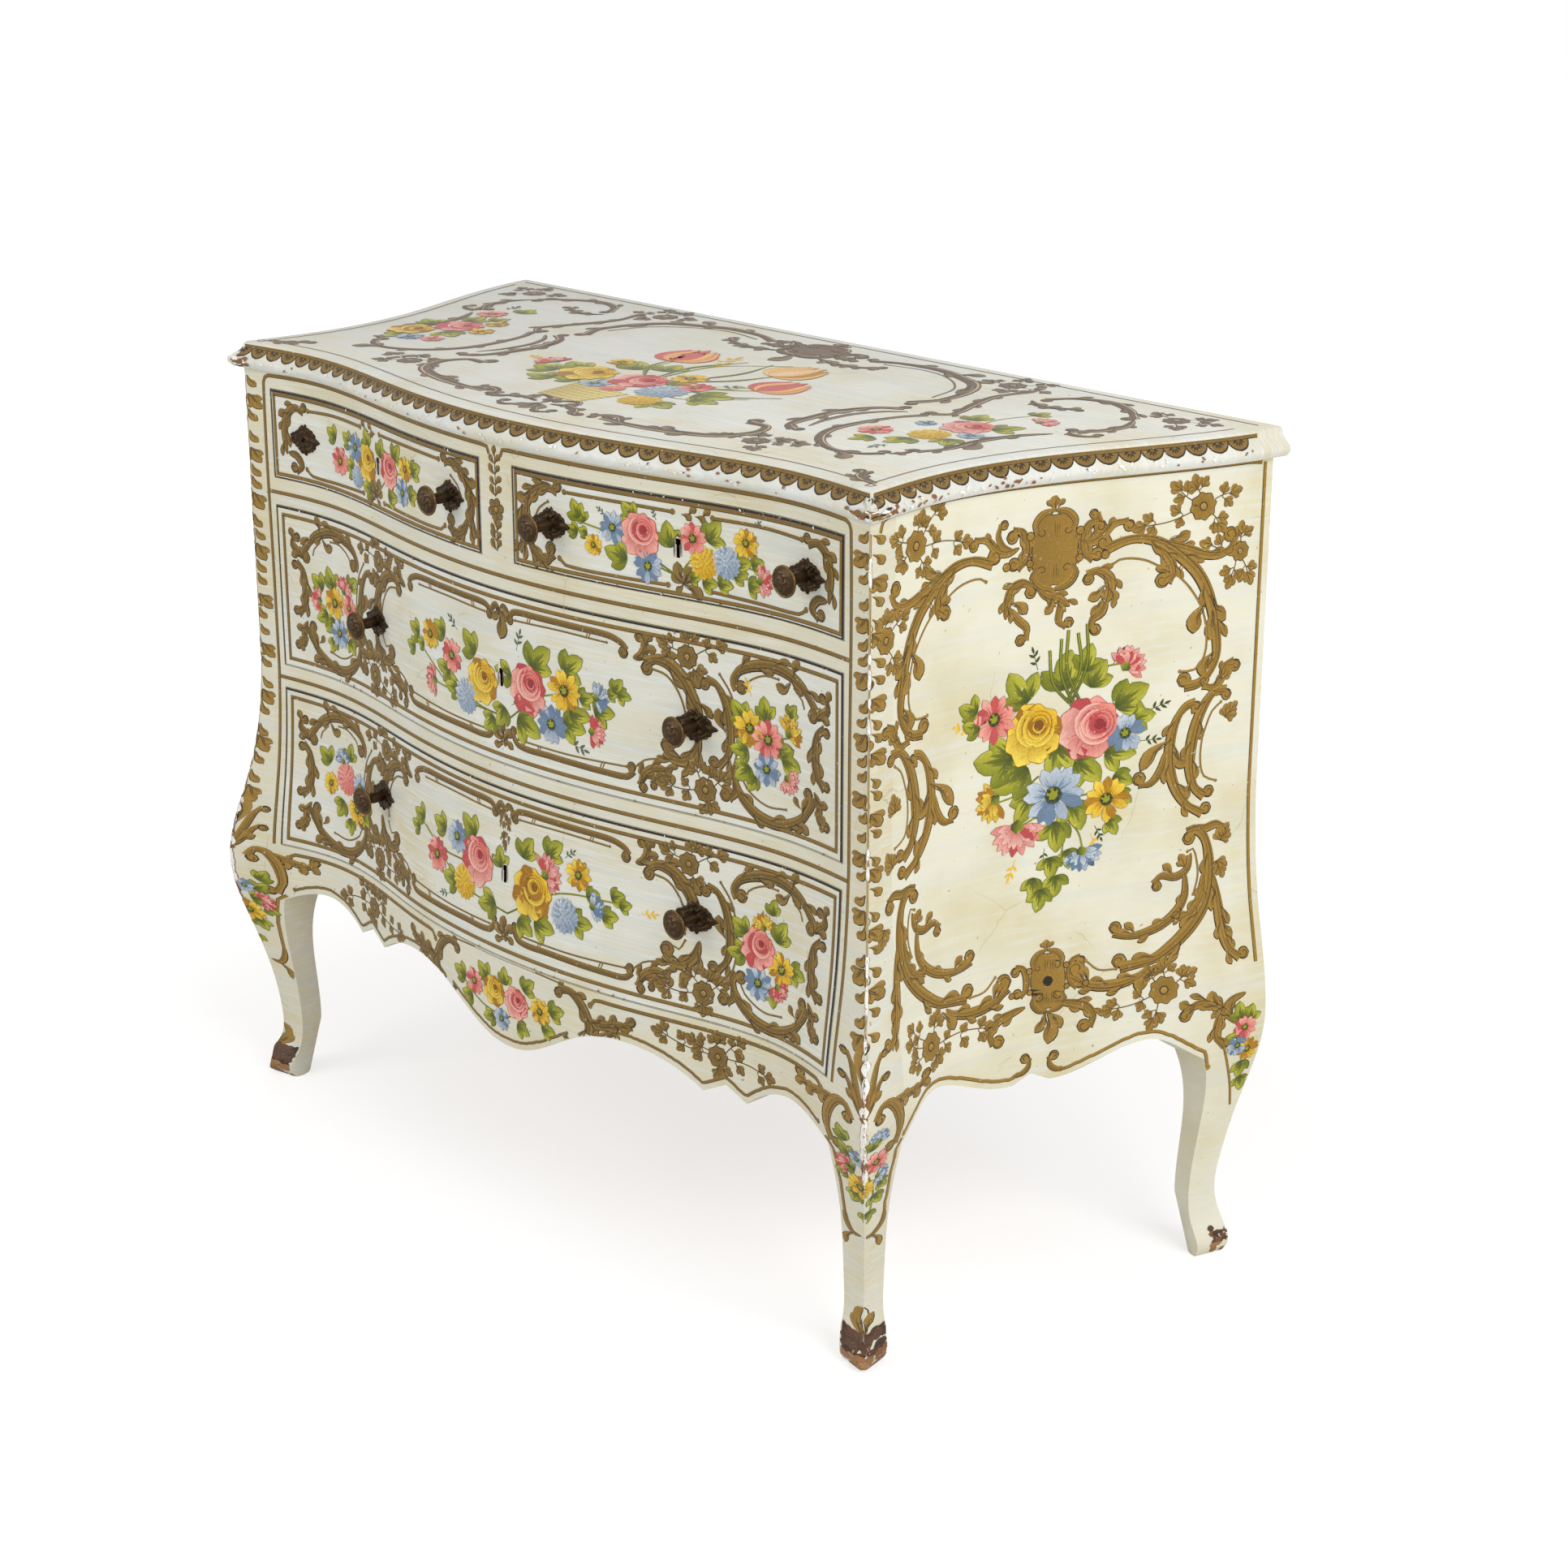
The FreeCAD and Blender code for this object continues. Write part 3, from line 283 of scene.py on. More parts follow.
def cast_metal(name, patina, rubbed, roughness):
    """Cast copper alloy with a dark patina, rubbed bright by hands on its high spots, or plain dull iron.

    It gives the eye a near-black metal whose raised ornament, marked on the mesh, shines brass."""
    material, tree, shader = new_material(name, **{"Metallic": 1.0})
    height = add(tree, "ShaderNodeAttribute", attribute_name="rubbed").outputs["Fac"]
    place = add(tree, "ShaderNodeTexCoord").outputs["Object"]
    grit = noise(tree, place, 1 / 0.002, 3.0)
    wear = add(tree, "ShaderNodeMath", {0: height, 1: grit}, operation="MULTIPLY").outputs[0]
    colour = blend(tree, ramp(tree, wear, 0.12, 0.5), patina, rubbed)
    gloss = ramp(tree, grit, 0.0, 1.0, roughness - 0.1, roughness + 0.15)
    pits = add(tree, "ShaderNodeBump", {"Height": grit, "Strength": 0.3, "Distance": 0.0004}).outputs[0]
    wire(tree, shader, colour, gloss, pits)
    return material


def material_for(kind):
    """A finish of the chest by name, made the first time that it is asked for."""
    if kind in bpy.data.materials:
        return bpy.data.materials[kind]
    paints = bpy.context.scene.chest_paints
    finishes = {
        # Painted light: the front, side and top paints take their grounds' lit and shaded tones of one cream.
        "front_paint": (aged_paint, paints.front_ground, paints, FRONT_GRAIN),
        "rail_paint": (aged_paint, paints.rail_ground, paints, FRONT_GRAIN, 0.55, 0.4),
        "side_paint": (aged_paint, paints.lit_side_ground, paints, SIDE_GRAIN, 0.4, 0.26),
        "top_paint": (aged_paint, paints.top_ground, paints, TOP_GRAIN),
        "decoration_paint": (decoration_paint, paints),
        "bare_softwood": (bare_softwood, paints),
        "cast_bronze": (cast_metal, paints.bronze, paints.brass, 0.38),
        "dark_cast_brass": (cast_metal, tuple(0.7 * c for c in paints.bronze), paints.brass, 0.45),
        "dull_iron": (cast_metal, paints.iron, paints.iron, 0.55),
    }
    make, *values = finishes[kind]
    return make(kind, *values)


# ---------------------------------------------------------------- pieces

def keep(bm, name, body, material):
    """Turn a bmesh into a finished piece that rides on a body."""
    mesh = bpy.data.meshes.new(name)
    bm.to_mesh(mesh)
    bm.free()
    mesh.materials.append(material_for(material))
    piece = bpy.data.objects.new(name, mesh)
    bpy.context.scene.collection.objects.link(piece)
    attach(piece, body)
    return piece


def merged(node):
    """A node's mesh with its loose triangles joined."""
    bm = bmesh.new()
    bm.from_mesh(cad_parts[node].data)
    bmesh.ops.remove_doubles(bm, verts=bm.verts, dist=0.02 * MM)
    return bm


def smooth_copy(node, body, material, crease=30.0):
    """A joined copy of a node, shaded smooth up to its creases, that stands for the node."""
    bm = merged(node)
    limit = math.radians(crease)
    for face in bm.faces:
        face.smooth = True
    for edge in bm.edges:
        edge.smooth = len(edge.link_faces) == 2 and edge.calc_face_angle(math.pi) < limit
    piece = keep(bm, node + "_painted", body, material)
    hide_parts(node)
    return piece


def refinish(nodes, material):
    """Give CAD nodes that stay as they are a better finish."""
    for node in nodes:
        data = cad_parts[node].data
        data.materials.clear()
        data.materials.append(material_for(material))


# ---------------------------------------------------------------- brushwork

# Heights of the paint layers above the surface, in mm.
UNDER, GOLD, VEIN, STEM, LEAF, OVER, FLOWER = 0.16, 0.24, 0.33, 0.25, 0.36, 0.53, 0.50
DEEPEST_STEP = 14.0      # a patch of a stroke that drops further than this has gone over an edge, in mm
EDGE_DROP = 6.0          # a drop of the surface in one step that counts as its lower edge, in mm
OUTSIDE = 2.0            # where a ray starts, well outside the chest, in metres
LOT = 1500               # how many points a lot of strokes may have before it is put by
SHADE = complex(0.45, -0.55)   # which way an outline is heavier: lower right, as if lit from the upper left
FRONT_VIEW = ((1, 0, 0), (0, 0, 1), (0, -1, 0))   # right, up and out of a face that is seen from the front
BLACK = (0.0, 0.0, 0.0)
GOLDS = ("gold", "gold_dark", "gold_light")
GREENS = ("leaf_dark", "leaf", "leaf_light")
HUES = {hue: (hue + "_dark", hue, hue + "_light") for hue in ("pink", "yellow", "blue")}


def even(t):
    """Width along a line: the same all along."""
    return 1.0


def swelling(t):
    """Width along a scroll: thin at both ends."""
    return 0.42 + 0.58 * math.sin(math.pi * t)


def blade(t):
    """Width along a leaf: pointed at both ends."""
    return max(0.05, math.sin(math.pi * t ** 0.8))


def lobe(t):
    """Width along the lobe of a leaf: round towards its tip."""
    return max(0.08, math.sin(math.pi * t ** 1.2) ** 0.7)


def petal_shape(t):
    """Width along a petal: narrow at the heart and round at the tip."""
    return max(0.14, math.sin(math.pi * min(1.0, t) ** 1.6) ** 0.6)


def spoon(t):
    """Narrow at its root, widest past the middle and round at its end."""
    return max(0.02, math.sin(math.pi * min(1.0, t) ** 1.7)) ** 0.62 * (0.35 + 0.65 * min(1.0, 1.6 * t))


def rounded(t):
    """Width along a disc."""
    return max(0.1, math.sqrt(max(0.0, 1.0 - (2.0 * t - 1.0) ** 2)))


def mixed(first, last, share):
    """A colour between two."""
    return tuple(a + (b - a) * share for a, b in zip(first, last))


def plain(colour):
    """A stroke of one colour."""
    return lambda t, s: colour


def along(first, last):
    """A stroke that changes colour from its start to its end."""
    return lambda t, s: mixed(first, last, t)


def across(first, last):
    """A stroke that changes colour from its right edge to its left."""
    return lambda t, s: mixed(first, last, (s + 1.0) / 2.0)


def direction(degrees, reach=1.0):
    """A step of some reach at an angle, as a complex number."""
    return cmath.rect(reach, math.radians(degrees))


def drawn(point):
    """A point of a drawing, given as a pair or as a complex number, as a complex number."""
    return complex(*point) if isinstance(point, tuple) else point


def flowing(points, step):
    """Points along a smooth line through the given ones, about a step apart."""
    ends = [2 * points[0] - points[1], *points, 2 * points[-1] - points[-2]]
    path = []
    for before, start, stop, after in zip(ends, ends[1:], ends[2:], ends[3:]):
        run = abs(stop - start)
        lead = (stop - before) * run / (abs(start - before) + run)
        trail = (after - start) * run / (run + abs(after - stop))
        count = max(1, round(run / step))
        for k in range(count):
            t = k / count
            path.append((2 * t ** 3 - 3 * t ** 2 + 1) * start + (t ** 3 - 2 * t ** 2 + t) * lead
                        + (3 * t ** 2 - 2 * t ** 3) * stop + (t ** 3 - t ** 2) * trail)
    return path + [points[-1]]


class Face:
    """One side of the chest to paint on: what is drawn flat, in millimetres, is thrown on to the surface."""

    def __init__(self, nodes, right, up, out):
        self.right, self.up, self.out = (Vector(axis).normalized() for axis in (right, up, out))
        joined = bmesh.new()
        for node in nodes:
            joined.from_mesh(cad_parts[node].data)
        self.tree = BVHTree.FromBMesh(joined)
        joined.free()
        self.start()

    def start(self):
        """Begin a new painting on the same surface."""
        self.done, self.depth = [], 0.0
        self.fresh()

    def fresh(self):
        """Begin a new lot of strokes: short lots are quicker to work on than one long one."""
        self.bm = bmesh.new()
        self.paint = self.bm.verts.layers.float_color.new("paint")

    def put_by(self):
        """Put the present lot of strokes by."""
        lot = bpy.data.meshes.new("strokes")
        self.bm.to_mesh(lot)
        self.bm.free()
        self.done.append(lot)
        self.fresh()

    def cast(self, spot):
        """Where a drawn spot meets the surface, and the way out of it there."""
        start = (self.right * spot.real + self.up * spot.imag) * MM
        return self.tree.ray_cast(start + self.out * OUTSIDE, -self.out)[:2]

    def place(self, spot, lift):
        """Where a drawn spot lies on the surface, a lift above it."""
        hit, normal = self.cast(spot)
        self.missed = hit is None
        if self.missed:
            return (self.right * spot.real + self.up * spot.imag) * MM + self.out * self.depth
        self.depth = hit.dot(self.out)
        return hit + normal * lift * MM

    def ridge(self, level):
        """How far across the face it stands out most at a level: the place of an arris."""
        heights = {}
        for u in range(round(CORNER - CORNER_REACH), round(CORNER + CORNER_REACH)):
            hit, _ = self.cast(complex(u, level))
            if hit is not None:
                heights[u] = hit.dot(self.out)
        return max(heights, key=heights.get)

    def flank(self, level, hand):
        """How far across the face a leg still reaches at a level, looking from its middle to one hand."""
        reach = self.ridge(level)
        while self.cast(complex(reach, level))[0] is not None:
            reach += hand
        return reach - hand

    def edge_below(self, u, level):
        """The level at which the surface ends below a starting level."""
        before = None
        while level > 0.0:
            hit, _ = self.cast(complex(u, level))
            depth = None if hit is None else hit.dot(self.out) / MM
            if depth is None or (before is not None and abs(depth - before) > EDGE_DROP):
                break
            before = depth
            level -= 1.0
        return level

    def finish(self, name, body, hole=None):
        """Keep what has been painted as one piece, leaving a hole bare where one is given."""
        self.put_by()
        self.bm.free()
        whole = bmesh.new()
        for lot in self.done:
            whole.from_mesh(lot)
            bpy.data.meshes.remove(lot)
        if hole:
            middle, wide, high = hole
            bare = [face for face in whole.faces
                    if abs(face.calc_center_median().dot(self.right) / MM - middle.real) < wide
                    and abs(face.calc_center_median().dot(self.up) / MM - middle.imag) < high]
            bmesh.ops.delete(whole, geom=bare, context="FACES")
        piece = keep(whole, name, body, "decoration_paint")
        self.start()
        return piece


class Pen:
    """A brush over a face, whose paper may be moved and mirrored."""

    def __init__(self, face, gold, draw, shift=0j, mirrored=False):
        self.face, self.gold, self.draw, self.shift, self.mirrored = face, gold, draw, shift, mirrored
        self.layer = 0.0

    def at(self, u, v, mirror=False):
        """The same brush with its paper moved, and mirrored left to right where asked."""
        return Pen(self.face, self.gold, self.draw, self.spot((u, v)), self.mirrored != mirror)

    def colour(self, name):
        """A paint by name, or the gold of this face."""
        if name == "gold_light" and self.gold == "top_gold":
            name = "top_shine"
        return tuple(getattr(bpy.context.scene.chest_paints, self.gold if name == "gold" else name))

    def colours(self, *names):
        """Some paints by their names."""
        return [self.colour(name) for name in names]

    def flat(self, name):
        """A stroke of one paint by its name."""
        return plain(self.colour(name))

    def halves(self):
        """This brush, and the same one mirrored left to right."""
        return self, self.at(0, 0, mirror=True)

    def spot(self, point):
        """Where a drawn point lies on the face's own paper."""
        point = drawn(point)
        return self.shift + (-point.conjugate() if self.mirrored else point)

    def stroke(self, line, width, tone, lift, shape=even, step=4.0, aside=0.0):
        """One brush stroke along a line: a strip of faces of changing width and colour on the surface."""
        path = flowing([self.spot(point) for point in line], step)
        count = len(path) - 1
        light = self.draw.uniform(0.93, 1.07)
        lift += self.draw.uniform(0.0, 0.03) + self.layer
        made = bmesh.ops.create_grid(self.face.bm, x_segments=count, y_segments=2, size=1.0)["verts"]
        missed = set()
        for vert in made:
            t, s = (vert.co.x + 1.0) / 2.0, vert.co.y
            k = round(t * count)
            heading = path[min(k + 1, count)] - path[max(k - 1, 0)]
            side = heading / (abs(heading) or 1.0) * (-1j if self.mirrored else 1j)
            spot = path[k] + side * shape(t) * (aside + s * width / 2.0)
            vert.co = self.face.place(spot, lift)
            if self.face.missed:
                missed.add(vert)
            vert[self.face.paint] = (*(min(1.0, c * light) for c in tone(t, s)), 1.0)
        lost = []
        for face in {face for vert in made for face in vert.link_faces}:
            face.smooth = True
            face.normal_update()
            if face.normal.dot(self.face.out) < 0.0:
                face.normal_flip()
            depths = [vert.co.dot(self.face.out) for vert in face.verts]
            if max(depths) - min(depths) > DEEPEST_STEP * MM or not missed.isdisjoint(face.verts):
                lost.append(face)
        bmesh.ops.delete(self.face.bm, geom=lost, context="FACES")
        if len(self.face.bm.verts) > LOT:
            self.face.put_by()

    def disc(self, spot, radius, tone, lift):
        """A round dab."""
        spot = drawn(spot)
        self.stroke([spot - radius, spot + radius], 2 * radius, tone, lift, rounded, max(0.8, radius / 3))


def line(pen, points, width=0.0, dots=False):
    """A plain gold line, with round ends where asked."""
    width = width or size_of("line_width")
    pen.stroke(points, width, pen.flat("gold"), GOLD, even, 7.0)
    pen.stroke(points, width * 0.16, pen.flat("gold_dark"), VEIN, even, 7.0, aside=-0.46 * width)
    if dots:
        for end in (points[0], points[-1]):
            pen.disc(end, 0.9 * width, pen.flat("gold"), GOLD)


def roll(pen, tip, heading, radius):
    """The rolled-up end of a scroll: a round boss with a spiral, to the left for a positive radius."""
    centre = tip + heading / abs(heading) * 1j * radius
    edge = size_of("outline")
    dark, reach, hand = pen.colour("gold_dark"), abs(radius), math.copysign(1.0, radius)
    pen.disc(centre, reach + edge, plain(dark), UNDER + 0.06)
    pen.disc(centre, reach, pen.flat("gold"), GOLD + 0.06)
    spiral = [centre + (tip - centre) * cmath.rect(1.0 - 0.14 * k, hand * 0.95 * k) for k in range(6)]
    pen.stroke(spiral, 0.7, plain(dark), VEIN + 0.06, even, 1.5)


def scroll(pen, points, width, start=0.0, end=0.0, shape=None):
    """A scroll: an ochre ribbon shaded along one edge, with umber outline and veins.

    An end that has a radius is rolled up, to the left for a positive one."""
    points = [drawn(point) for point in points]
    gold, dark, lit = pen.colours(*GOLDS)
    first, last = (0.85 if start else 0.15), (0.85 if end else 0.15)

    def swelling_between(t):
        return max(first * (1.0 - t) ** 2, last * t ** 2, math.sin(math.pi * t) ** 0.45)

    if shape is None:
        shape = swelling_between
        width *= bpy.context.scene.chest_sizes.swell
    edge = min(size_of("outline"), 0.08 * width + 0.2)
    shade = SHADE * edge
    shine = 0.17 if pen.gold == "top_gold" else 0.05
    pen.stroke([point + shade for point in points], width + 1.3 * edge, plain(dark), UNDER, shape, 3.0)
    pen.stroke(points, width, across(mixed(gold, dark, 0.22), gold), GOLD, shape, 3.0)
    pen.stroke(points, 0.06 * width, plain(dark), VEIN, shape, 3.0, aside=-0.26 * width)
    pen.stroke(points, 0.035 * width, plain(mixed(gold, dark, 0.7)), VEIN, shape, 3.0, aside=0.06 * width)
    pen.stroke(points, shine * width, plain(lit), VEIN, shape, 3.0, aside=0.30 * width)
    for tip, before, radius in ((points[0], points[1], start), (points[-1], points[-2], end)):
        if radius:
            roll(pen, tip, tip - before, radius * 1.15)
    path = flowing(points, 3.0)
    if width < 8.5 or len(path) < 16:
        return
    hand = 1
    for share in (0.2, 0.36, 0.52, 0.68, 0.84):
        place = round(share * (len(path) - 2))
        course = math.degrees(cmath.phase(path[place + 1] - path[place]))
        root = path[place] + direction(course + 90.0 * hand, 0.16 * width)
        gold_leaf(pen, root, course + hand * pen.draw.uniform(14.0, 24.0), width * pen.draw.uniform(1.5, 1.9),
                  0.6 * width, 0.1 * hand)
        hand = -hand


def gold_leaf(pen, base, angle, reach, width=0.0, bend=0.12):
    """An ochre leaf, round at its end, shaded on one side by umber hatching."""
    base = drawn(base)
    width, tip = width or 0.5 * reach, base + direction(angle, reach)
    middle = (base + tip) / 2 + direction(angle + 90, bend * reach)
    gold, dark, lit = pen.colours(*GOLDS)
    edge = min(size_of("outline"), 0.035 * reach + 0.15)
    shade, spur = SHADE * edge, direction(angle, 0.6 * edge)
    pen.stroke([base - spur + shade, middle + shade, tip + spur + shade], width + 1.2 * edge, plain(dark),
               UNDER + 0.05, spoon, reach / 7)
    pen.stroke([base, middle, tip], width, across(mixed(gold, dark, 0.25), mixed(gold, lit, 0.25)), GOLD + 0.05,
               spoon, reach / 7)
    for aside, stop in ((-0.12, 0.75), (-0.28, 0.62))[:1 if reach < 17.0 else 2]:
        pen.stroke([base, middle, base + (tip - base) * stop], 0.05 * width + 0.2, plain(dark), VEIN + 0.05, swelling,
                   reach / 5, aside=aside * width)


def lobed_leaf(pen, base, angle, reach):
    """An ochre leaf of three round lobes."""
    for turn, share in ((34.0, 0.78), (-34.0, 0.72), (0.0, 1.0)):
        gold_leaf(pen, base, angle + turn, reach * share, 0.5 * reach * share, 0.06)


def frond(pen, points, width, lobes, hand=1, start=0.0, end=0.0):
    """An acanthus leaf: a scroll with leaf tips along one side."""
    points = [drawn(point) for point in points]
    path = flowing(points, 3.0)
    for k in range(lobes):
        place = round((0.15 + 0.7 * k / max(1, lobes - 1)) * (len(path) - 2))
        heading = math.degrees(cmath.phase(path[place + 1] - path[place]))
        gold_leaf(pen, path[place], heading + hand * 40.0, 2.3 * width * (1.0 - 0.3 * k / lobes), 1.15 * width,
                  -0.12 * hand)
        gold_leaf(pen, path[place], heading - hand * 34.0, 1.5 * width * (1.0 - 0.3 * k / lobes), 0.8 * width,
                  0.12 * hand)
    scroll(pen, points, width, start, end)


def gold_flower(pen, spot, radius, petals=8):
    """An ochre flower with outlined petals and a raised heart."""
    spot = drawn(spot)
    gold, dark, lit = pen.colours(*GOLDS)
    for k in range(petals):
        angle = 360.0 * (k + 0.25) / petals
        base, tip = spot + direction(angle, 0.15 * radius), spot + direction(angle, radius)
        pen.stroke([base, tip + direction(angle, 0.7)], 0.78 * radius, plain(dark), UNDER + 0.1, petal_shape,
                   radius / 5)
        pen.stroke([base, tip], 0.78 * radius - 1.2, along(mixed(gold, dark, 0.3), gold), GOLD + 0.1, petal_shape,
                   radius / 5)
    pen.disc(spot, 0.32 * radius, plain(dark), VEIN + 0.06)
    pen.disc(spot, 0.24 * radius, across(gold, lit), VEIN + 0.12)


def gold_sprig(pen, spot, radius, arms):
    """An ochre flower with leafy arms, each given by its angle and reach."""
    spot = drawn(spot)
    twig_tone = mixed(pen.colour("gold_dark"), pen.colour("gold"), 0.45)
    for angle, reach in arms:
        bend = pen.draw.choice((-8.0, 8.0))
        root, tip = spot + direction(angle, 0.7 * radius), spot + direction(angle + bend, reach)
        middle = (root + tip) / 2 + direction(angle + 90, 0.05 * reach)
        pen.stroke([root, middle, tip], 1.2, plain(twig_tone), UNDER, even, 5.0)
        count = max(1, int(reach / 23.0))
        for k in range(count):
            knot = root + (tip - root) * (k + 0.45) / count
            for hand in (1, -1):
                twiglet = knot + direction(angle + bend + hand * 55.0, 3.0)
                pen.stroke([knot, twiglet], 1.0, plain(twig_tone), UNDER, even, 2.0)
                lobed_leaf(pen, twiglet, angle + bend + hand * pen.draw.uniform(40.0, 60.0),
                           pen.draw.uniform(11.0, 14.0))
        lobed_leaf(pen, tip - direction(angle + bend, 6.0), angle + bend, 15.0)
    gold_flower(pen, spot, radius)


def leaf(pen, spot, away, size, turn=0.0):
    """A green leaf of three round lobes, deep on one side and lit on the other, brushed dark from its base."""
    angle = away + turn
    spot -= direction(angle, 0.45 * size)
    dark, mid, lit = pen.colours(*GREENS)
    for turned, share in ((-46.0, 0.78), (46.0, 0.78), (0.0, 1.0)):
        reach, course = size * share, angle + turned + pen.draw.uniform(-8.0, 8.0)
        tip = spot + direction(course, reach)
        middle = (spot + tip) / 2 + direction(course + 90, 0.05 * reach)
        deep, pale = (mixed(mid, dark, 0.55), mid) if turned > 0 else (mixed(mid, dark, 0.15), lit)
        pen.stroke([spot, middle, tip + direction(course, 0.6)], 0.56 * reach + 1.1, plain(mixed(dark, mid, 0.2)),
                   LEAF, lobe, reach / 6)
        pen.stroke([spot, middle, tip], 0.56 * reach, across(pale, deep), LEAF + 0.05, lobe, reach / 6)
        for bow, far, wide in ((-0.10, 0.62, 0.09), (0.03, 0.78, 0.11), (0.13, 0.58, 0.09)):
            end = spot + (tip - spot) * far * complex(1.0, 1.6 * bow)
            knee = spot + (tip - spot) * far * 0.5 * complex(1.0, 2.6 * bow)
            pen.stroke([spot, knee, end], wide * reach + 0.5, along(dark, mixed(dark, mid, 0.6)), LEAF + 0.1, blade,
                       reach / 5)


def twig(pen, spot, away, size, turn=0.0, name="sprig"):
    """A small twig of single brush marks."""
    angle, colour = away + turn, pen.colour(name)
    tip = spot + direction(angle, size)
    pen.stroke([spot, tip], 0.6, plain(colour), STEM, even, size / 3)
    for share, turn in ((0.35, 55.0), (0.45, -50.0), (0.75, 45.0), (0.8, -45.0), (1.0, 0.0)):
        root = spot + direction(angle, share * size)
        pen.stroke([root, root + direction(angle + turn, 0.42 * size)], 0.16 * size, plain(colour), LEAF, blade,
                   size / 10)


def stem(pen, start, away, stop, bend=0.1, lift=STEM):
    """A thin green stem."""
    stop = complex(*stop)
    middle = (start + stop) / 2 + (stop - start) * 1j * bend
    tone = along(mixed(pen.colour("leaf"), pen.colour("leaf_dark"), 0.7), pen.colour("leaf"))
    if lift == OVER:
        pen.stroke([start, middle, stop], 3.2, pen.flat("leaf_dark"), lift, even, 5.0)
    pen.stroke([start, middle, stop], 1.9, tone, lift + 0.03, even, 5.0)


def daisy(pen, spot, away, radius, hue, petals=12):
    """An open flower: petals lit on one side and deep on the other, round a green heart."""
    dark, mid, lit = pen.colours(*HUES[hue])
    pen.layer = pen.draw.uniform(0.0, 0.10)
    for k in range(petals):
        angle = 360.0 * k / petals + pen.draw.uniform(-8.0, 8.0)
        depth = 0.5 + 0.5 * math.cos(math.radians(angle + 50.0))
        tip = mixed(mixed(lit, mid, 0.5), mixed(mid, dark, 0.42), depth * pen.draw.uniform(0.6, 1.0))
        reach = radius * pen.draw.uniform(0.92, 1.06)
        wide = 2.0 * math.pi * radius / petals * 0.78
        lift = FLOWER + 0.012 * k
        ends = [spot + direction(angle, 0.15 * radius), spot + direction(angle, reach)]
        rim = [ends[0], ends[1] + direction(angle, 0.4)]
        pen.stroke(rim, wide + 0.7, plain(mixed(mid, dark, 0.8)), lift - 0.006, petal_shape, radius / 5)
        pen.stroke(ends, wide, along(mixed(mid, dark, 0.35), mixed(lit, tip, 0.75)), lift, petal_shape, radius / 5)
        for turn, far in ((-9.0, 0.6), (0.0, 0.74), (9.0, 0.6)):
            pen.stroke([ends[0], spot + direction(angle + turn, far * reach)], 0.13 * wide,
                       along(dark, mixed(mid, dark, 0.5)), lift + 0.008, blade, radius / 4)
    green = pen.colour("leaf_dark")
    pen.disc(spot, 0.30 * radius, plain(mixed(green, dark, 0.15)), FLOWER + 0.16)
    pen.disc(spot + direction(120, 0.06 * radius), 0.20 * radius, pen.flat("leaf"), FLOWER + 0.2)
    for k in range(6):
        dot = spot + direction(60.0 * k + 15.0, 0.2 * radius)
        pen.disc(dot, 0.055 * radius + 0.15, plain(mixed(green, BLACK, 0.4)), FLOWER + 0.24)
    pen.layer = 0.0


def half_daisy(pen, spot, away, radius, hue, turn=0.0):
    """A flower seen from the side: a fan of petals on a green cup."""
    angle = away + turn
    spot -= direction(angle, 0.4 * radius)
    dark, mid, lit = pen.colours(*HUES[hue])
    pen.layer = pen.draw.uniform(0.0, 0.10)
    for ring, (reach, share) in enumerate(((1.15, 0.75), (0.85, 0.3))):
        for k in range(9):
            course = angle - 84.0 + 21.0 * k + pen.draw.uniform(-5.0, 5.0)
            tip = mixed(lit, mixed(mid, dark, 0.7), share * pen.draw.uniform(0.5, 1.2))
            lift, far = FLOWER + 0.01 * k + 0.1 * ring, spot + direction(course, reach * radius)
            pen.stroke([spot, far + direction(course, 0.5)], 0.36 * radius + 0.8, plain(mixed(mid, dark, 0.85)),
                       lift - 0.005, petal_shape, radius / 4)
            pen.stroke([spot, far], 0.36 * radius, along(mixed(mid, dark, 0.75), mixed(tip, lit, 0.3)), lift,
                       petal_shape, radius / 4)
    pen.stroke([spot - direction(angle, 0.3 * radius), spot + direction(angle, 0.25 * radius)], 0.6 * radius,
               across(pen.colour("leaf_dark"), pen.colour("leaf")), FLOWER + 0.26, rounded, radius / 6)
    pen.layer = 0.0


def dahlia(pen, spot, away, radius, hue):
    """A ball of small overlapping petals, lit from the upper left."""
    dark, mid, lit = pen.colours(*HUES[hue])
    pen.layer = pen.draw.uniform(0.0, 0.06)
    pen.disc(spot, 0.9 * radius, plain(mixed(mid, dark, 0.6)), FLOWER)
    for ring, (far, count) in enumerate(((1.0, 17), (0.84, 15), (0.66, 12), (0.47, 9), (0.27, 5))):
        for k in range(count):
            angle = 360.0 * (k + 0.5 * (ring % 2)) / count + pen.draw.uniform(-5.0, 5.0)
            shade = 0.5 + 0.5 * math.cos(math.radians(angle - 130.0)) * far
            tip = mixed(mixed(mid, dark, 0.35), lit, shade * pen.draw.uniform(0.7, 1.1))
            pen.stroke([spot + direction(angle, (far - 0.3) * radius), spot + direction(angle, far * radius)],
                       0.30 * radius, along(mixed(mid, dark, 0.5), tip), FLOWER + 0.04 * (ring + 1) + 0.001 * k,
                       petal_shape, radius / 8)
    pen.layer = 0.0


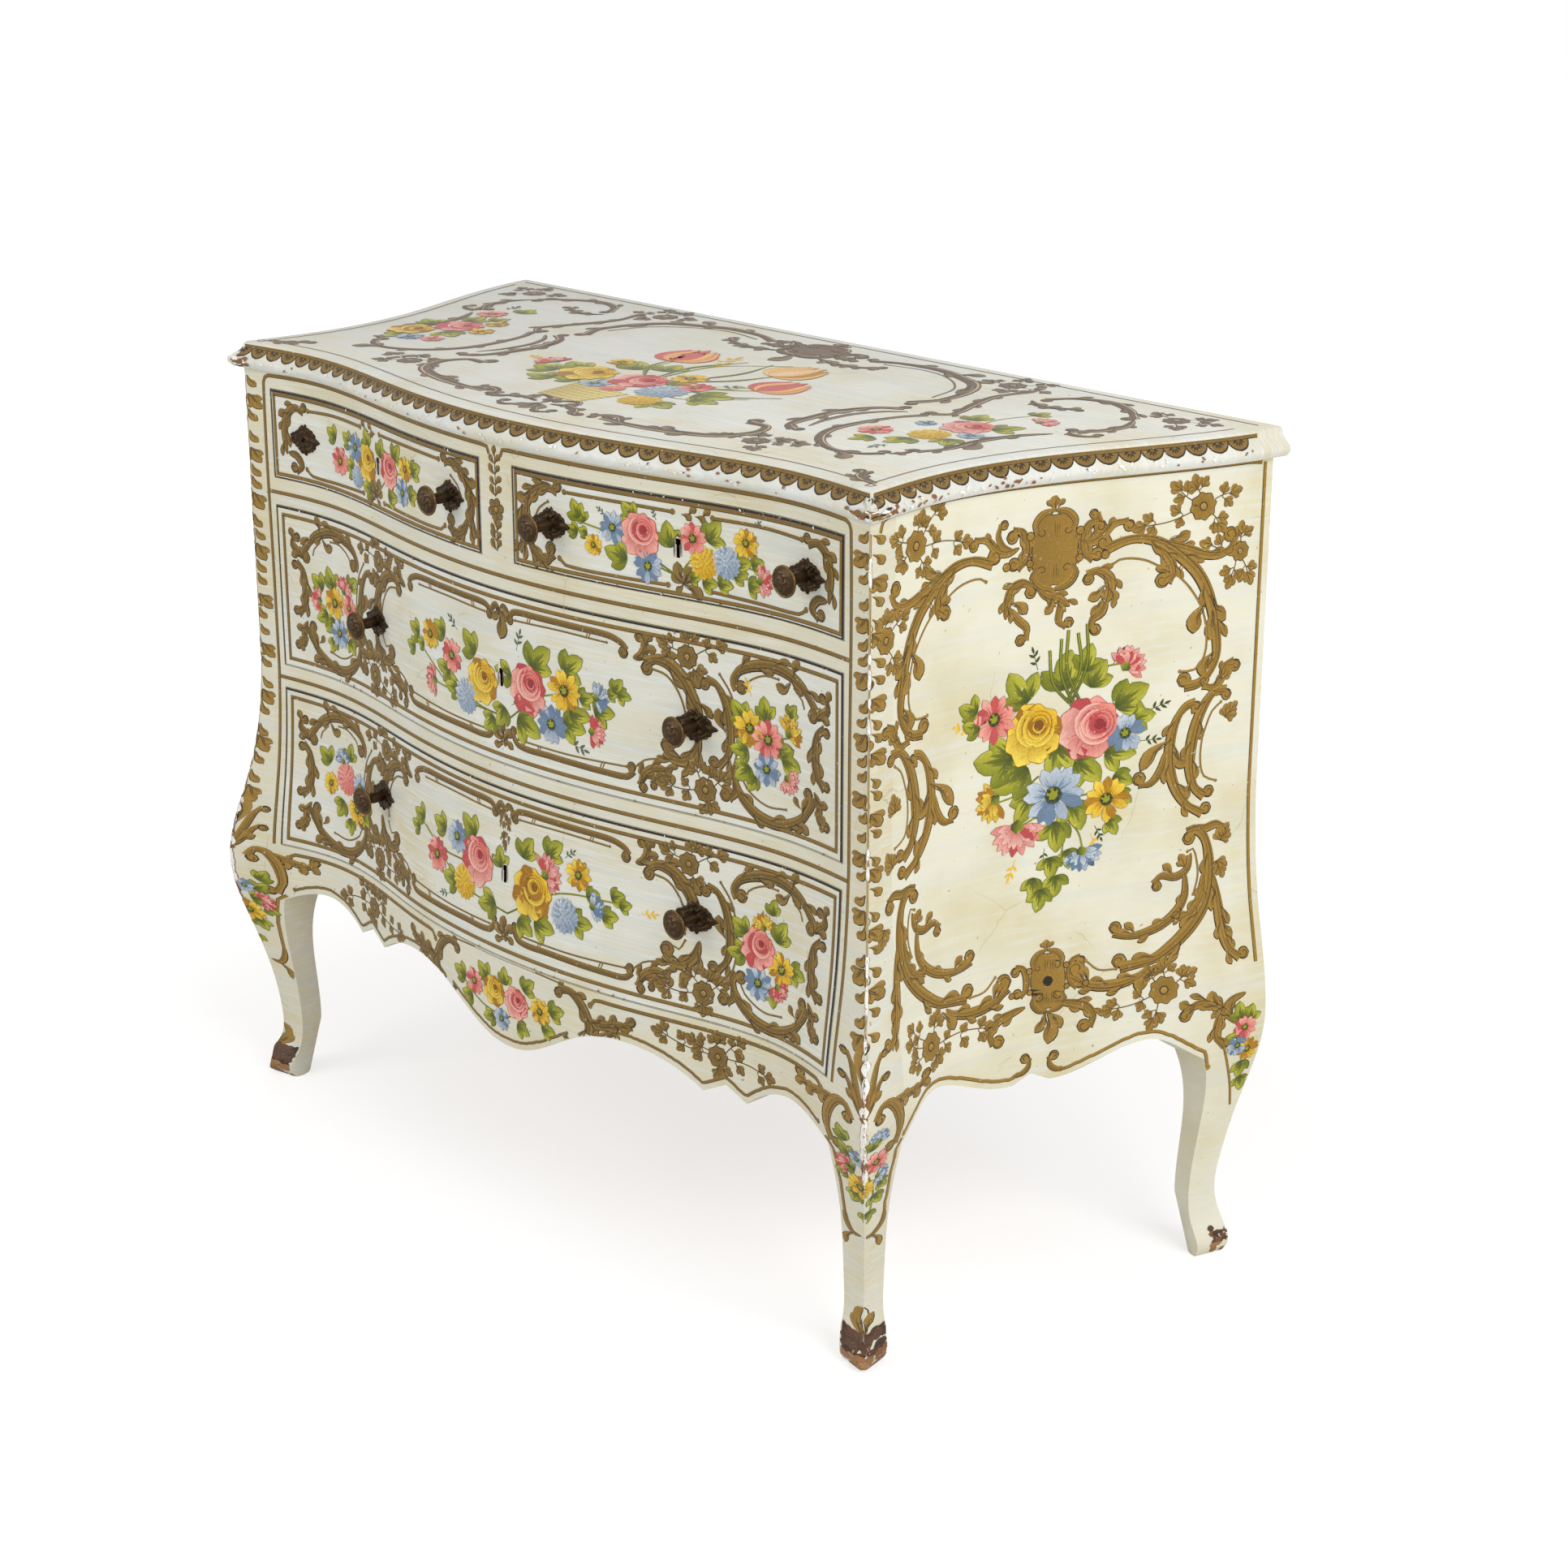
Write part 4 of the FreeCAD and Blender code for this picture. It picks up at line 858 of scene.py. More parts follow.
def rose(pen, spot, away, radius, hue, turn=0.0):
    """A full-blown rose: spread petals, then pale-edged lips curling round a deep heart set to one side."""
    dark, mid, lit = pen.colours(*HUES[hue])
    pen.layer = pen.draw.uniform(0.0, 0.06)
    lean = turn + 55.0
    outline = plain(mixed(dark, mid, 0.12))
    for k in range(9):
        angle = turn + 40.0 * k + pen.draw.uniform(-6.0, 6.0)
        facing = 0.5 - 0.5 * math.cos(math.radians(angle - lean))
        reach = radius * (0.84 + 0.2 * facing) * pen.draw.uniform(0.95, 1.05)
        tip = mixed(mixed(mid, lit, 0.2), lit, 0.9 * facing * pen.draw.uniform(0.6, 1.0))
        ends = [spot + direction(angle, 0.2 * radius), spot + direction(angle, reach)]
        lift = FLOWER + 0.012 * k
        pen.stroke([ends[0], ends[1] + direction(angle, 0.6)], 0.72 * radius + 1.0, outline, lift, petal_shape,
                   radius / 5)
        pen.stroke(ends, 0.72 * radius, along(mixed(mid, dark, 0.8), tip), lift + 0.006, petal_shape, radius / 5)
        for aside, far in ((-0.14, 0.84), (0.03, 0.9), (0.17, 0.82)):
            pen.stroke([ends[0], spot + direction(angle, far * reach)], 0.04 * radius,
                       along(dark, mixed(mid, dark, 0.3)), lift + 0.009, blade, radius / 4, aside=aside * radius)
    heart = spot + direction(lean, 0.22 * radius)
    for k, (sway, half) in enumerate(((-34, 70), (32, 74), (-16, 84), (44, 88), (-58, 96), (24, 110))):
        reach = radius * (0.66 - 0.098 * k)
        arc = [heart + direction(lean + 180.0 + sway + half * (j - 4) / 4,
                                 reach * (1.0 - 0.03 * abs(j - 4))) for j in range(9)]
        thick, lift = radius * (0.20 - 0.016 * k), FLOWER + 0.14 + 0.024 * k
        pen.stroke(arc, thick + 0.9, outline, lift, swelling, radius / 5)
        pen.stroke(arc, thick, across(mixed(lit, mid, 0.14 * k), mixed(mid, dark, 0.5 + 0.09 * k)), lift + 0.01,
                   swelling, radius / 5)
    for k in range(3):
        arc = [heart + direction(lean + 20.0 * (k - 1) + 24.0 * (j - 3),
                                 radius * (0.46 - 0.11 * k)) for j in range(7)]
        pen.stroke(arc, 0.11 * radius, across(mixed(mid, lit, 0.1), mixed(dark, mid, 0.2)), FLOWER + 0.30 + 0.02 * k,
                   swelling, radius / 5)
    pen.disc(heart, 0.16 * radius, plain(mixed(dark, BLACK, 0.3)), FLOWER + 0.38)
    pen.layer = 0.0


# Each takes the brush, the spot and the angle that it faces, which an open flower has no use for.
PARTS_OF_A_POSY = {"leaf": leaf, "twig": twig, "stem": stem, "daisy": daisy, "half": half_daisy, "ball": dahlia,
                   "rose": rose}


def posy(pen, heart, *groups):
    """Paint leaves and flowers one over the other.

    A group is a kind and its members, each given by its place and sizes. They face away from the heart."""
    for kind, *members in groups:
        for x, y, *sizes in members:
            spot = complex(x, y)
            PARTS_OF_A_POSY[kind](pen, spot, math.degrees(cmath.phase(spot - complex(*heart))), *sizes)


def pen_for(face, gold, name):
    """A brush for one painting, whose small differences are always the same."""
    return Pen(face, gold, random.Random(f"{name} {bpy.context.scene.chest_sizes.seed}"))


# ---------------------------------------------------------------- paintings

# Places are in millimetres across and up: on a drawer from its middle, on a side from its front edge, on the top
# from the middle of its back edge, and elsewhere from the middle of the chest and the floor.

KEYHOLE_WIDE, KEYHOLE_HIGH = 3.2, 9.6       # half the keyhole's size
SIDE_START = -207.8      # y of the side panel's front edge
SIDE_WIDTH = 464.0       # from the side panel's front edge to where its mirrored half starts
TOP_BACK = 272.2         # y of the top's back edge
CORNER = 200.0           # how far across its own face a front corner's arris lies
EDGE_INSET = 9.0         # from a lower edge to the line above it
KNEE_LEVEL = 150.0       # a side's lower line stops above this, before it runs down a leg
CORNER_REACH = 45.0      # how far each side of a corner its arris is looked for
FAN_TOP, FAN_FOOT, FAN_HUB = 874.5, 864.0, 873.6   # levels of the fans under the top's lip
FAN_EDGE = 1.4           # how far a fan's outline shows at its foot


def ticks(pen, start, stop):
    """The pair of short strokes that tie a thin line to its ribbon."""
    for move in (0.0, 3.2):
        pen.stroke([complex(*start) + move, complex(*stop) + move], 1.3, pen.flat("gold"), GOLD, even, 4.0)


def border(pen, wide, high, inset):
    """The line round a drawer's front, given half its width and height."""
    x, y, over = wide - inset, high - inset, size_of("line_width") / 2
    for side in (1, -1):
        line(pen, [(-x - over, side * y), (0, side * y), (x + over, side * y)])
        line(pen, [(side * x, -y), (side * x, 0), (side * x, y)])


def long_scrolls(pen):
    """Right half of the scrollwork on a long drawer: half the middle panel and the end panel."""
    scroll(pen, [(14, 68), (24, 74), (60, 75), (110, 75), (152, 74), (168, 69), (174, 63)], 6.0, 4.0, -4.5, even)
    line(pen, [(24, 65), (90, 67), (150, 66)], 1.8, True)
    ticks(pen, (42, 66), (45, 73))
    ticks(pen, (124, 67), (127, 74))
    frond(pen, [(182, 56), (192, 61), (197, 71), (194, 80)], 8.0, 3, -1, 0, 4.0)
    scroll(pen, [(196, 54), (210, 60), (226, 57), (241, 45), (253, 27), (263, 8)], 12.0, 5.5)
    gold_leaf(pen, (243, 44), 35, 14)
    line(pen, [(204, 49), (222, 45), (236, 30), (244, 8), (242, -6)], 2.2, True)
    scroll(pen, [(260, -10), (255, -26), (243, -38), (228, -39), (218, -33)], 10.0, 0, -6.5)
    line(pen, [(243, -13), (236, -24), (226, -21)], 1.8, True)
    scroll(pen, [(268, 50), (280, 46), (291, 28), (296, 2), (293, -22), (281, -37)], 8.5, 5.0, -5.0)
    gold_leaf(pen, (290, 0), 110, 24)
    line(pen, [(284, 57), (298, 38), (305, 4), (301, -30), (286, -49)], 2.0, True)
    scroll(pen, [(14, -56), (24, -67), (70, -68), (150, -69), (172, -68), (181, -61)], 6.0, -3.5, 4.0, even)
    line(pen, [(24, -61), (100, -61), (172, -58)], 1.8, True)
    ticks(pen, (52, -67), (55, -61))
    ticks(pen, (138, -67), (141, -60))
    frond(pen, [(188, -74), (194, -61), (208, -53), (226, -54)], 8.5, 2, -1, 4.0)
    scroll(pen, [(202, -70), (208, -61), (220, -57), (229, -58)], 5.0, 3.0)
    line(pen, [(182, -57), (194, -47), (211, -42)], 1.8)
    gold_sprig(pen, (246, 68), 12, ((150, 30), (75, 24), (15, 42), (-65, 20)))
    gold_sprig(pen, (266, -64), 13, ((190, 50), (120, 30), (75, 22), (25, 30), (-85, 16)))
    scroll(pen, [(304, 46), (300, 54), (308, 66), (330, 75), (356, 77), (384, 68), (402, 52), (408, 44)], 10.0, 5.5,
           -5.5)
    gold_leaf(pen, (374, 72), 62, 20)
    gold_leaf(pen, (372, 66), 195, 20, bend=0.3)
    line(pen, [(314, 45), (318, 56), (338, 66), (356, 66)], 1.8, True)
    line(pen, [(376, 62), (388, 52), (391, 44)], 1.8)
    frond(pen, [(406, 38), (414, 44), (424, 52), (421, 62)], 8.0, 2, -1, 0, 4.0)
    scroll(pen, [(420, 32), (410, 24), (406, 2), (410, -18), (420, -28)], 9.5, -4.0, 4.0)
    frond(pen, [(405, -34), (412, -46), (412, -60), (420, -68)], 7.5, 3, 1, 0, 4.0)
    scroll(pen, [(305, -33), (300, -42), (308, -60), (330, -76), (358, -79), (384, -68), (400, -50), (402, -40)],
           10.0, -5.5, 5.0)
    gold_leaf(pen, (378, -72), -20, 20)
    gold_leaf(pen, (386, -56), 130, 14)
    line(pen, [(309, -38), (316, -52), (340, -64), (366, -62)], 1.8, True)
    scroll(pen, [(300, -44), (302, -58), (294, -68)], 7.0, 0, -5.0)


def middle_clasp(pen, tassel):
    """The clasps that join the two halves of a long drawer's middle panel."""
    scroll(pen, [(-15, 69), (-6, 76), (0, 68)], 6.0, 3.0)
    scroll(pen, [(15, 69), (6, 76), (0, 68)], 6.0, -3.0)
    if tassel:
        for k in range(44):
            fall = pen.draw.random()
            spot = complex(pen.draw.uniform(-9.0, 9.0) * (1.0 - 0.6 * fall), 70.0 - 44.0 * fall)
            tone = mixed(pen.colour("gold"), pen.colour("gold_dark"), pen.draw.uniform(0.0, 0.5))
            pen.stroke([spot, spot + direction(pen.draw.uniform(235.0, 305.0), pen.draw.uniform(5.0, 10.0))],
                       pen.draw.uniform(2.0, 4.5), plain(tone), GOLD + 0.002 * k, blade, 2.0)
    else:
        for turn, reach in ((270, 32), (225, 18), (315, 18)):
            gold_leaf(pen, (0, 74), turn, reach)
    for turn, reach in ((90, 22), (140, 20), (40, 20), (200, 16), (-20, 16)):
        gold_leaf(pen, (0, -68), turn, reach)
    gold_flower(pen, (0, -67), 7.0, 5)


def middle_drawer_flowers(pen):
    """Flowers of the middle drawer: a long garland and a bouquet at each end."""
    posy(pen, (5, -30),
         ("stem", (10, -42, (-100, -8)), (10, -42, (120, 5)), (10, -42, (-165, 8)), (90, -10, (165, 12)),
          (-60, -20, (-130, -32)), (90, -10, (137, -28))),
         ("leaf", (-163, 14, 22), (-172, -6, 18), (-150, 2, 14), (-109, 28, 24), (-53, 25, 30), (-103, -12, 26),
          (-88, -30, 24), (-3, -40, 26), (-22, -52, 24), (39, -44, 36), (58, 32, 36), (104, 32, 32), (4, 6, 26, 90),
          (112, -17, 28), (104, -30, 30), (144, -8, 26), (122, 2, 20), (163, 22, 18, 30), (170, 13, 16, -30),
          (156, 12, 12)),
         ("twig", (25, 34, 18), (15, -26, 14), (98, -48, 20), (-75, 34, 16)),
         ("half", (-130, -32, 16, "pink"), (135, -30, 15, "pink"), (141, 8, 14, "blue")),
         ("daisy", (-129, 17, 17, "yellow"), (-87, 4, 19, "pink"), (74, -34, 21, "blue")),
         ("ball", (-62, -34, 20, "blue")),
         ("rose", (-31, -10, 27, "yellow")),
         ("daisy", (93, 5, 22, "yellow")),
         ("rose", (42, -2, 29, "pink")))
    posy(pen, (345, -10),
         ("leaf", (306, 24, 24), (340, 32, 24), (308, -14, 22), (312, -36, 24), (372, -14, 26), (364, -4, 20),
          (374, 38, 16), (322, -44, 18)),
         ("twig", (322, 42, 14, 0, "yellow")),
         ("stem", (350, -8, (378, -32)), (350, 0, (380, 12))),
         ("half", (374, 20, 16, "yellow"), (372, -34, 14, "pink")),
         ("daisy", (320, 10, 19, "yellow"), (341, -27, 17, "blue"), (343, 3, 20, "pink")))
    posy(pen, (-345, -10),
         ("leaf", (-313, 27, 22), (-383, 15, 24), (-358, 24, 26), (-377, -22, 22), (-362, -30, 24), (-360, -52, 18),
          (-320, -46, 20)),
         ("half", (-330, 20, 15, "pink"), (-387, -5, 13, "pink")),
         ("daisy", (-319, -26, 11, "yellow"), (-345, -36, 17, "blue"), (-322, -2, 14, "pink"),
          (-352, -3, 19, "yellow")))


def lower_drawer_flowers(pen):
    """Flowers of the lower drawer: a long garland and a bouquet at each end."""
    posy(pen, (0, -30),
         ("stem", (5, -42, (-150, 12)), (5, -42, (165, 8)), (-70, -5, (-165, 18))),
         ("leaf", (-163, 22, 22), (-172, 6, 18), (-118, 24, 26), (-60, 38, 30), (-98, -32, 26), (-28, -40, 30),
          (-8, 16, 24), (74, 45, 28), (35, 36, 28), (114, -26, 26), (60, -44, 30), (32, -50, 26), (150, -10, 22),
          (160, 14, 18), (170, 6, 16), (128, 8, 18)),
         ("twig", (190, 3, 16, 0, "yellow"), (90, 40, 14), (-100, -50, 14)),
         ("half", (69, 20, 20, "pink"), (134, -2, 14, "blue")),
         ("daisy", (-125, -13, 20, "pink"), (-85, 18, 18, "blue"), (109, 26, 17, "yellow")),
         ("ball", (-70, -28, 20, "yellow"), (91, -22, 20, "blue")),
         ("rose", (-46, 4, 29, "pink"), (43, -8, 31, "yellow")))
    posy(pen, (345, -8),
         ("leaf", (362, 22, 26), (309, 18, 22), (305, -10, 22), (386, -12, 22), (350, 46, 18), (352, -46, 20)),
         ("stem", (345, 0, (337, 40))),
         ("half", (337, 28, 13, "yellow"), (362, -38, 13, "pink")),
         ("daisy", (333, -36, 18, "blue"), (364, -14, 18, "yellow")),
         ("rose", (333, 1, 23, "pink")))
    posy(pen, (-340, -5),
         ("leaf", (-333, 40, 22), (-380, 28, 24), (-355, -28, 24), (-335, -46, 20), (-300, -30, 18)),
         ("stem", (-342, 0, (-352, 40))),
         ("half", (-350, 32, 13, "blue")),
         ("daisy", (-313, 6, 15, "blue"), (-372, -4, 13, "yellow"), (-320, -23, 18, "yellow")),
         ("ball", (-342, 8, 20, "pink")))


def short_frame(pen):
    """Scrollwork of a short drawer: a long panel with a scroll at each end."""
    line(pen, [(-138, 35), (-70, 35.5), (-6, 35)], 3.4, True)
    line(pen, [(40, 35), (100, 35.5), (150, 33)], 3.4, True)
    for k in range(4):
        gold_leaf(pen, (4 + 8 * k, 34), 40 if k % 2 else -20, 12, 7)
    line(pen, [(-146, -33), (-138, -38.5), (-70, -39), (-12, -38)], 3.4, True)
    line(pen, [(38, -37), (100, -39), (146, -39), (156, -33)], 3.4, True)
    for turn, reach in ((110, 22), (150, 16), (60, 20), (20, 18), (-30, 24), (220, 12)):
        gold_leaf(pen, (6, -34), turn, reach)
    scroll(pen, [(-148, 34), (-164, 37), (-180, 30), (-192, 22)], 9.0, 4.5)
    gold_leaf(pen, (-184, 27), 195, 22)
    scroll(pen, [(-178, 30), (-192, 14), (-196, -4), (-194, -20), (-204, -34)], 10.0, 0, -4.5)
    line(pen, [(-160, 22), (-172, 14), (-178, 4)], 2.0, True)
    scroll(pen, [(-190, -16), (-180, -32), (-164, -38), (-154, -30)], 9.0, 0, 5.5)
    scroll(pen, [(158, 31), (172, 34), (184, 26), (190, 10), (190, -8), (188, -20)], 9.0, -4.0)
    gold_leaf(pen, (182, 28), -20, 18)
    scroll(pen, [(186, -18), (172, -20), (164, -30), (174, -38)], 8.0, 0, 4.5)


def upper_right_flowers(pen):
    """Flowers of the right short drawer."""
    posy(pen, (0, -30),
         ("stem", (0, -28, (-126, 10), -0.06), (0, -28, (-60, 6)), (0, -28, (40, 4)), (40, -14, (108, -12))),
         ("leaf", (-123, 20, 20, -40), (-115, 15, 14, -40), (-128, -1, 16), (-114, -1, 12), (-57, 29, 20),
          (-10, 11, 26), (-72, -17, 28), (-58, 14, 18), (42, 20, 26), (75, -6, 22), (72, -16, 18), (36, -30, 18),
          (54, -28, 18), (93, -2, 16), (90, -24, 18), (20, -27, 12)),
         ("twig", (-85, 20, 10), (-25, 24, 9), (88, 34, 9)),
         ("daisy", (-101, -12, 11, "yellow"), (-77, 9, 16, "blue", 13)),
         ("rose", (-43, 8, 24, "pink")),
         ("daisy", (-35, -23, 17, "blue"), (17, 12, 16, "pink")),
         ("ball", (56, -6, 17, "blue"), (30, -10, 17, "yellow")),
         ("daisy", (79, 17, 15, "yellow")),
         ("half", (102, -16, 14, "pink")))


def upper_left_flowers(pen):
    """Flowers of the left short drawer."""
    posy(pen, (0, -30),
         ("stem", (0, -28, (-95, 2)), (0, -28, (60, 4))),
         ("leaf", (-105, 15, 20), (-72, 15, 20), (-26, 24, 22), (8, 20, 22), (46, 23, 22), (88, 12, 22),
          (-67, -14, 22), (-27, -28, 22), (33, -28, 22), (80, -16, 20)),
         ("twig", (-140, -8, 12)),
         ("daisy", (-89, -12, 17, "pink", 13), (-53, 10, 16, "blue", 13)),
         ("ball", (-51, -22, 13, "blue")),
         ("daisy", (66, 10, 14, "yellow"), (58, -17, 15, "blue")),
         ("rose", (-25, 0, 22, "yellow"), (28, 2, 21, "pink")))


def paint_drawer(name):
    """Paint one drawer's front."""
    node = name + "_drawer_front"
    low, high = (Vector(corner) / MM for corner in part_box(node))
    middle, half = (low + high) / 2, (high - low) / 2
    face = Face([node], *FRONT_VIEW)
    pen = pen_for(face, "front_gold", name).at(middle.x, middle.z)
    inset = size_of("border_inset")
    if name in ("upper_left", "upper_right"):
        border(pen, half.x, half.z, 0.5 * inset)
        short_frame(pen if name == "upper_right" else pen.at(0, 0, mirror=True))
    else:
        border(pen, half.x, half.z, inset)
        for drawing in pen.halves():
            long_scrolls(drawing)
        middle_clasp(pen, name == "lower")
    flowers = {"upper_left": upper_left_flowers, "upper_right": upper_right_flowers,
               "middle": middle_drawer_flowers, "lower": lower_drawer_flowers}
    flowers[name](pen)
    # Grime and painted shade: dark bands along the drawer's edges, wider on the right and at the top, stand for the
    # dirty bare arris and for the shade in the gap round the drawer.
    grime = pen.flat("grime")
    for x, wide in ((half.x, 3.4), (-half.x, 1.6)):
        edge = x - math.copysign(wide / 2, x)
        pen.stroke([(edge, -half.z + 0.4), (edge, half.z - 0.4)], wide, grime, UNDER, even, 5.0)
    for z, wide in ((half.z, 2.6), (-half.z, 1.2)):
        edge = z - math.copysign(wide / 2, z)
        pen.stroke([(-half.x + 0.4, edge), (0, edge), (half.x - 0.4, edge)], wide, grime, UNDER, even, 6.0)
    for z, brown in ((-half.z + 1, 0.8), (half.z - 1, 0.7)):
        chips(pen, [(-half.x, z), (0, z), (half.x, z)], 16, 3.0, brown)
    rubbed = plain(mixed(pen.colour("grime"), pen.colour("chipped"), 0.4))
    for x, foot, top in ((KEYHOLE_WIDE + 0.6, -8, 10), (-KEYHOLE_WIDE - 0.6, -9, 8)):
        pen.stroke([(x, foot), (x, top)], 1.5, rubbed, FLOWER + 0.6, swelling, 2.0)
    return face.finish(name + "_drawer_painting", name + "_drawer", (pen.spot(0j), KEYHOLE_WIDE, KEYHOLE_HIGH))


def keyhole_shade_lining(name):
    """Painted shade: the walls of a keyhole, painted near black for the shade inside the hole."""
    node = name + "_drawer_front"
    middle = sum((Vector(corner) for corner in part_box(node)), Vector()) / 2 / MM
    bm, spare, others = merged(node), 0.6, []
    for face in bm.faces:
        centre = face.calc_center_median() / MM
        inside = abs(centre.x - middle.x) < KEYHOLE_WIDE + spare and abs(centre.z - middle.z) < KEYHOLE_HIGH + spare
        if not inside or abs(face.normal.y) > 0.5:
            others.append(face)
    bmesh.ops.delete(bm, geom=others, context="FACES")
    if not bm.faces:
        raise RuntimeError("no keyhole was found in " + node)
    bm.normal_update()
    paint = bm.verts.layers.float_color.new("paint")
    for vert in bm.verts:
        vert.co += vert.normal * UNDER * MM
        # Painted shade: near black, for the shade inside the hole.
        vert[paint] = (*(0.35 * part for part in bpy.context.scene.chest_paints.grime), 1.0)
    return keep(bm, name + "_keyhole_lining", name + "_drawer", "decoration_paint")


def chips(pen, points, count, size, brown, course=90.0):
    """Flakes along a worn edge: white where the gesso shows and brown where the wood does."""
    path = flowing([complex(*point) for point in points], 2.0)
    for _ in range(count):
        spot = pen.draw.choice(path) + complex(pen.draw.uniform(-0.2, 0.2), pen.draw.uniform(-0.4, 0.4)) * size
        wooden = pen.draw.random() < brown
        tone = pen.colour("chipped" if wooden else "gesso")
        half = direction(course + pen.draw.uniform(-40.0, 40.0), size * pen.draw.uniform(0.25, 0.9))
        lift = LEAF + (0.75 if wooden else 0.7)
        pen.stroke([spot - half, spot + half], size * pen.draw.uniform(0.3, 0.8), plain(tone), lift, rounded,
                   max(1.0, abs(half) / 3))


def smears(pen, count, spread, levels, tones, shares, half, widths, lift):
    """Worn paint and dirt: short level smears over one another, in shades between two tones."""
    for k in range(count):
        spot = complex(pen.draw.uniform(*spread), pen.draw.uniform(*levels))
        tone = plain(mixed(*pen.colours(*tones), pen.draw.uniform(*shares)))
        pen.stroke([spot - half, spot + half], pen.draw.uniform(*widths), tone, lift + 0.004 * k, rounded, 2.0)


def worn_arris(pen, first, last, wide, share):
    """Paint knocked off an arris: white gesso in ragged runs, edged with brown wood."""
    z = first
    while z < last:
        run = pen.draw.uniform(4.0, 15.0)
        if pen.draw.random() < share:
            edge = mixed(pen.colour("chipped"), pen.colour("yellowed"), pen.draw.uniform(0.0, 0.7))
            bare = pen.colour("chipped" if pen.draw.random() < 0.15 else "gesso")
            for k in range(3):
                aside = pen.draw.uniform(-0.16, 0.16) * wide * (k > 0)
                low = z + pen.draw.uniform(-0.4, 0.4) * run
                levels = (low, low + 0.6 * run, low + 1.2 * run)
                points = [complex(pen.face.ridge(level) + aside, level) for level in levels]
                width = wide * pen.draw.uniform(0.35, 1.0)
                pen.stroke(points, width + 1.2, plain(edge), LEAF + 0.3 + 0.01 * k, blade, 2.0)
                pen.stroke(points, width, plain(bare), LEAF + 0.36 + 0.01 * k, blade, 2.0)
        z += run


def leaf_pairs(pen, base, tip, count, reach):
    """A gold garland: pairs of leaves along a stalk."""
    base, tip = complex(*base), complex(*tip)
    pen.stroke([base, tip], 1.0, pen.flat("gold_dark"), UNDER, even, 4.0)
    heading = math.degrees(cmath.phase(tip - base))
    for k in range(count):
        knot = base + (tip - base) * k / count
        for hand in (1, -1):
            gold_leaf(pen, knot, heading + hand * pen.draw.uniform(28.0, 48.0), reach * pen.draw.uniform(0.85, 1.1))
    gold_leaf(pen, tip - direction(heading, 0.4 * reach), heading, reach)


def front_lines(pen):
    """Right half of the lines on the rails and the corner."""
    line(pen, [(9, 838), (12, 845), (22, 846), (240, 846), (450, 846), (458, 838), (458, 600), (458, 300)])
    line(pen, [(0, 715), (150, 715), (300, 715), (456, 715)])
    line(pen, [(0, 499), (150, 499), (300, 499), (456, 499)])


def apron_scrolls(pen):
    """Right half of the apron: the middle panel's side, the sprig, and the line along the lower edge."""
    line(pen, [(128, 284), (134, 291), (150, 292), (280, 292), (428, 292), (438, 286)], 0.0, True)
    line(pen, [(0, 300), (50, 300), (92, 298)], 3.0)
    line(pen, [(u, pen.face.edge_below(u, 288) + EDGE_INSET) for u in range(0, 100, 4)], 3.0)
    scroll(pen, [(84, 292), (102, 292), (118, 279), (126, 259), (118, 243), (98, 232)], 10.0, 4.5, -5.0)
    frond(pen, [(122, 268), (142, 266), (162, 271), (182, 274)], 8.0, 3, 1, 0, 4.0)
    frond(pen, [(124, 252), (138, 252), (152, 258), (162, 262)], 6.0, 2, -1, 0, 3.0)
    line(pen, [(u, pen.face.edge_below(u, 288) + EDGE_INSET) for u in range(132, 436, 4)], 3.2, True)
    gold_sprig(pen, (284, 266), 12, ((178, 72), (150, 34), (100, 20), (30, 36), (4, 66), (-70, 14)))


def apron_flowers(pen):
    """The bouquet in the middle of the apron."""
    posy(pen, (0, 238),
         ("stem", (0, 232, (-80, 262)), (0, 232, (82, 262))),
         ("leaf", (-78, 262, 22), (-66, 240, 20), (-34, 278, 22), (2, 280, 20), (38, 280, 22), (80, 262, 22),
          (66, 238, 20), (-28, 226, 20), (26, 226, 20)),
         ("daisy", (-7, 230, 13, "blue"), (-52, 260, 15, "pink"), (56, 257, 15, "yellow")),
         ("rose", (-17, 260, 19, "yellow"), (20, 256, 20, "pink")))


def paint_front():
    """Paint the rails, the stile between the short drawers and the apron."""
    face = Face(PAINTED_FRONT, *FRONT_VIEW)
    pen = pen_for(face, "front_gold", "rails")
    for half in pen.halves():
        front_lines(half)
    leaf_pairs(pen, (0, 740), (0, 768), 3, 14)
    leaf_pairs(pen, (0, 796), (0, 840), 4, 13)
    gold_flower(pen, (0, 782), 12, 6)
    face.finish("rail_painting", "carcass")
    pen = pen_for(face, "front_gold", "apron")
    for half in pen.halves():
        apron_scrolls(half)
    apron_flowers(pen)
    face.finish("apron_painting", "carcass")


